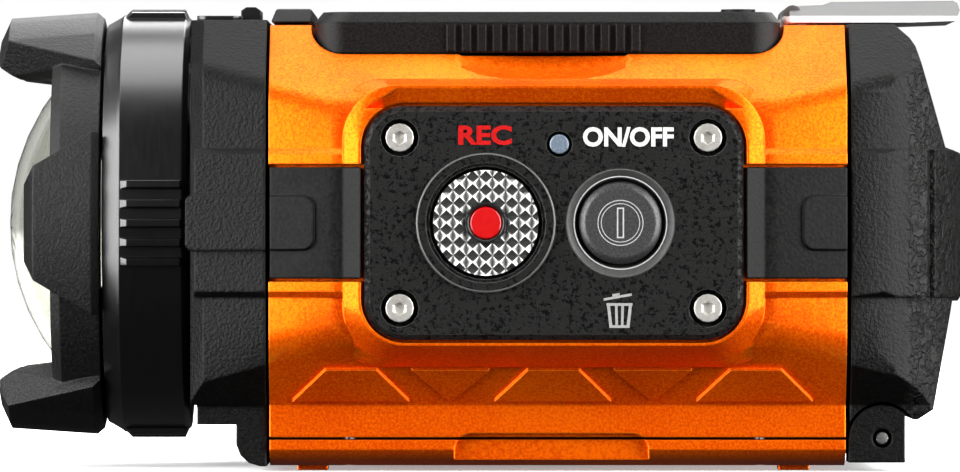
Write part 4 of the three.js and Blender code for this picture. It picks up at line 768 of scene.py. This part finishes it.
coated, place = new_finish(
    "lens_coated", Transmission_Weight=0.55, IOR=1.6, Thin_Film_Thickness=420, Thin_Film_IOR=1.9,
    Coat_Weight=0.5, Coat_Roughness=0.03,
)
LENS_Z = 22.9 * MM
COATING_SHEEN_R = 10.526 * MM
flat = place.stretched(0, 1, 1)
across = flat.node("VectorMath", {"operation": "SUBTRACT"}, {0: flat, 1: (0, 0, LENS_Z)})
radius = across.node("VectorMath", {"operation": "LENGTH"}, {0: across}, "Value")
# The base colour, purple in the middle and green at the rim, is a painted reflection of the coating.
(radius * (1 / COATING_SHEEN_R)).ramp(
    (0.1, (0.05, 0.02, 0.10)), (0.55, (0.12, 0.05, 0.16)), (0.95, (0.04, 0.10, 0.07)),
).feed("Base Color")
(place.noise(4 * MM) * 0.02 + 0.03).feed("Roughness")
dress(coated, 0, "front_lens")

dress(moulded, 0.1 * MM, "dome_retainer", "lens_barrel")

# ---- Bayonet, hinge and lever metal ---------------------------------------------------------
# The bayonet plate, pins and small parts are stainless steel. The latch lever over the door is a satin
# nickel plated casting that turns on its own pin in the top. Its lowest edge is painted near-white, a
# painted reflection.

steel, place = new_finish("steel_plain", Metallic=1.0)
scratch = place.stretched(0.08, 1, 1).noise(0.3 * MM, 3.0, 0.6)
scratch.between((0.48, 0.48, 0.47), (0.66, 0.66, 0.65)).feed("Base Color")
(scratch * 0.2 + 0.24).feed("Roughness")
scratch.bump(0.01 * MM, 0.4).feed("Normal")
dress(steel, 0.08 * MM, "bayonet_mount", "lever_pivot", "card_slot", "usb_port", "hdmi_port")
dress(steel, 0.1 * MM, "hinge_pin", "rec_switch", "power_switch", "speaker")
dress(socket_steel, 0.08 * MM, *[f"base_screw_{i}" for i in range(1, 5)])

LIP_TOP = 42.28 * MM
nickel, place = new_finish("nickel_satin")
brush = place.stretched(0.06, 1, 1).noise(0.25 * MM, 3.0, 0.6)
# The lowest edge is painted near-white and less metallic: a painted reflection along the lip.
lip_highlight = place.node("MapRange", {}, {0: place.along("Z"), 1: LIP_TOP, 2: LIP_TOP - 0.04 * MM})
nickel_colour = brush.between((0.12, 0.12, 0.119), (0.16, 0.16, 0.158))
lip_highlight.between(nickel_colour, (0.93, 0.93, 0.92)).feed("Base Color")
(0.85 - lip_highlight * 0.4).feed("Metallic")
(brush * 0.14 + 0.32).feed("Roughness")
brush.bump(0.008 * MM, 0.4).feed("Normal")
dress(nickel, 0.18 * MM, "latch_lever")

brass, place = new_finish("brass_plain", Metallic=1.0)
turned = place.stretched(1, 1, 6).noise(0.6 * MM, 3.0)
turned.between((0.60, 0.44, 0.18), (0.78, 0.60, 0.28)).feed("Base Color")
(turned * 0.2 + 0.22).feed("Roughness")
dress(brass, 0.1 * MM, "tripod_insert")

# ---- Inside ---------------------------------------------------------------------------------
# A moulded chassis holds the battery under the main board, whose ports and card slot face
# the rear door. None of it shows until the door is open.

dress(moulded, 0, "chassis", "memory_card")

laminate, place = new_finish("board_green", Coat_Weight=0.4, Coat_Roughness=0.2)
trace = place.cells(1.4 * MM, 0.3).ramp((0.10, 1.0), (0.16, 0.0))
trace.between((0.008, 0.060, 0.030), (0.30, 0.24, 0.10)).feed("Base Color")
(place.noise(1 * MM) * 0.1 + 0.32).feed("Roughness")
dress(laminate, 0, "main_board", "display_board", "button_board", "image_sensor")

wrap, place = new_finish("battery_wrap")
film = place.noise(3 * MM, 3.0)
film.between((0.10, 0.12, 0.16), (0.15, 0.17, 0.22)).feed("Base Color")
(film * 0.15 + 0.35).feed("Roughness")
dress(wrap, 0.3 * MM, "battery")
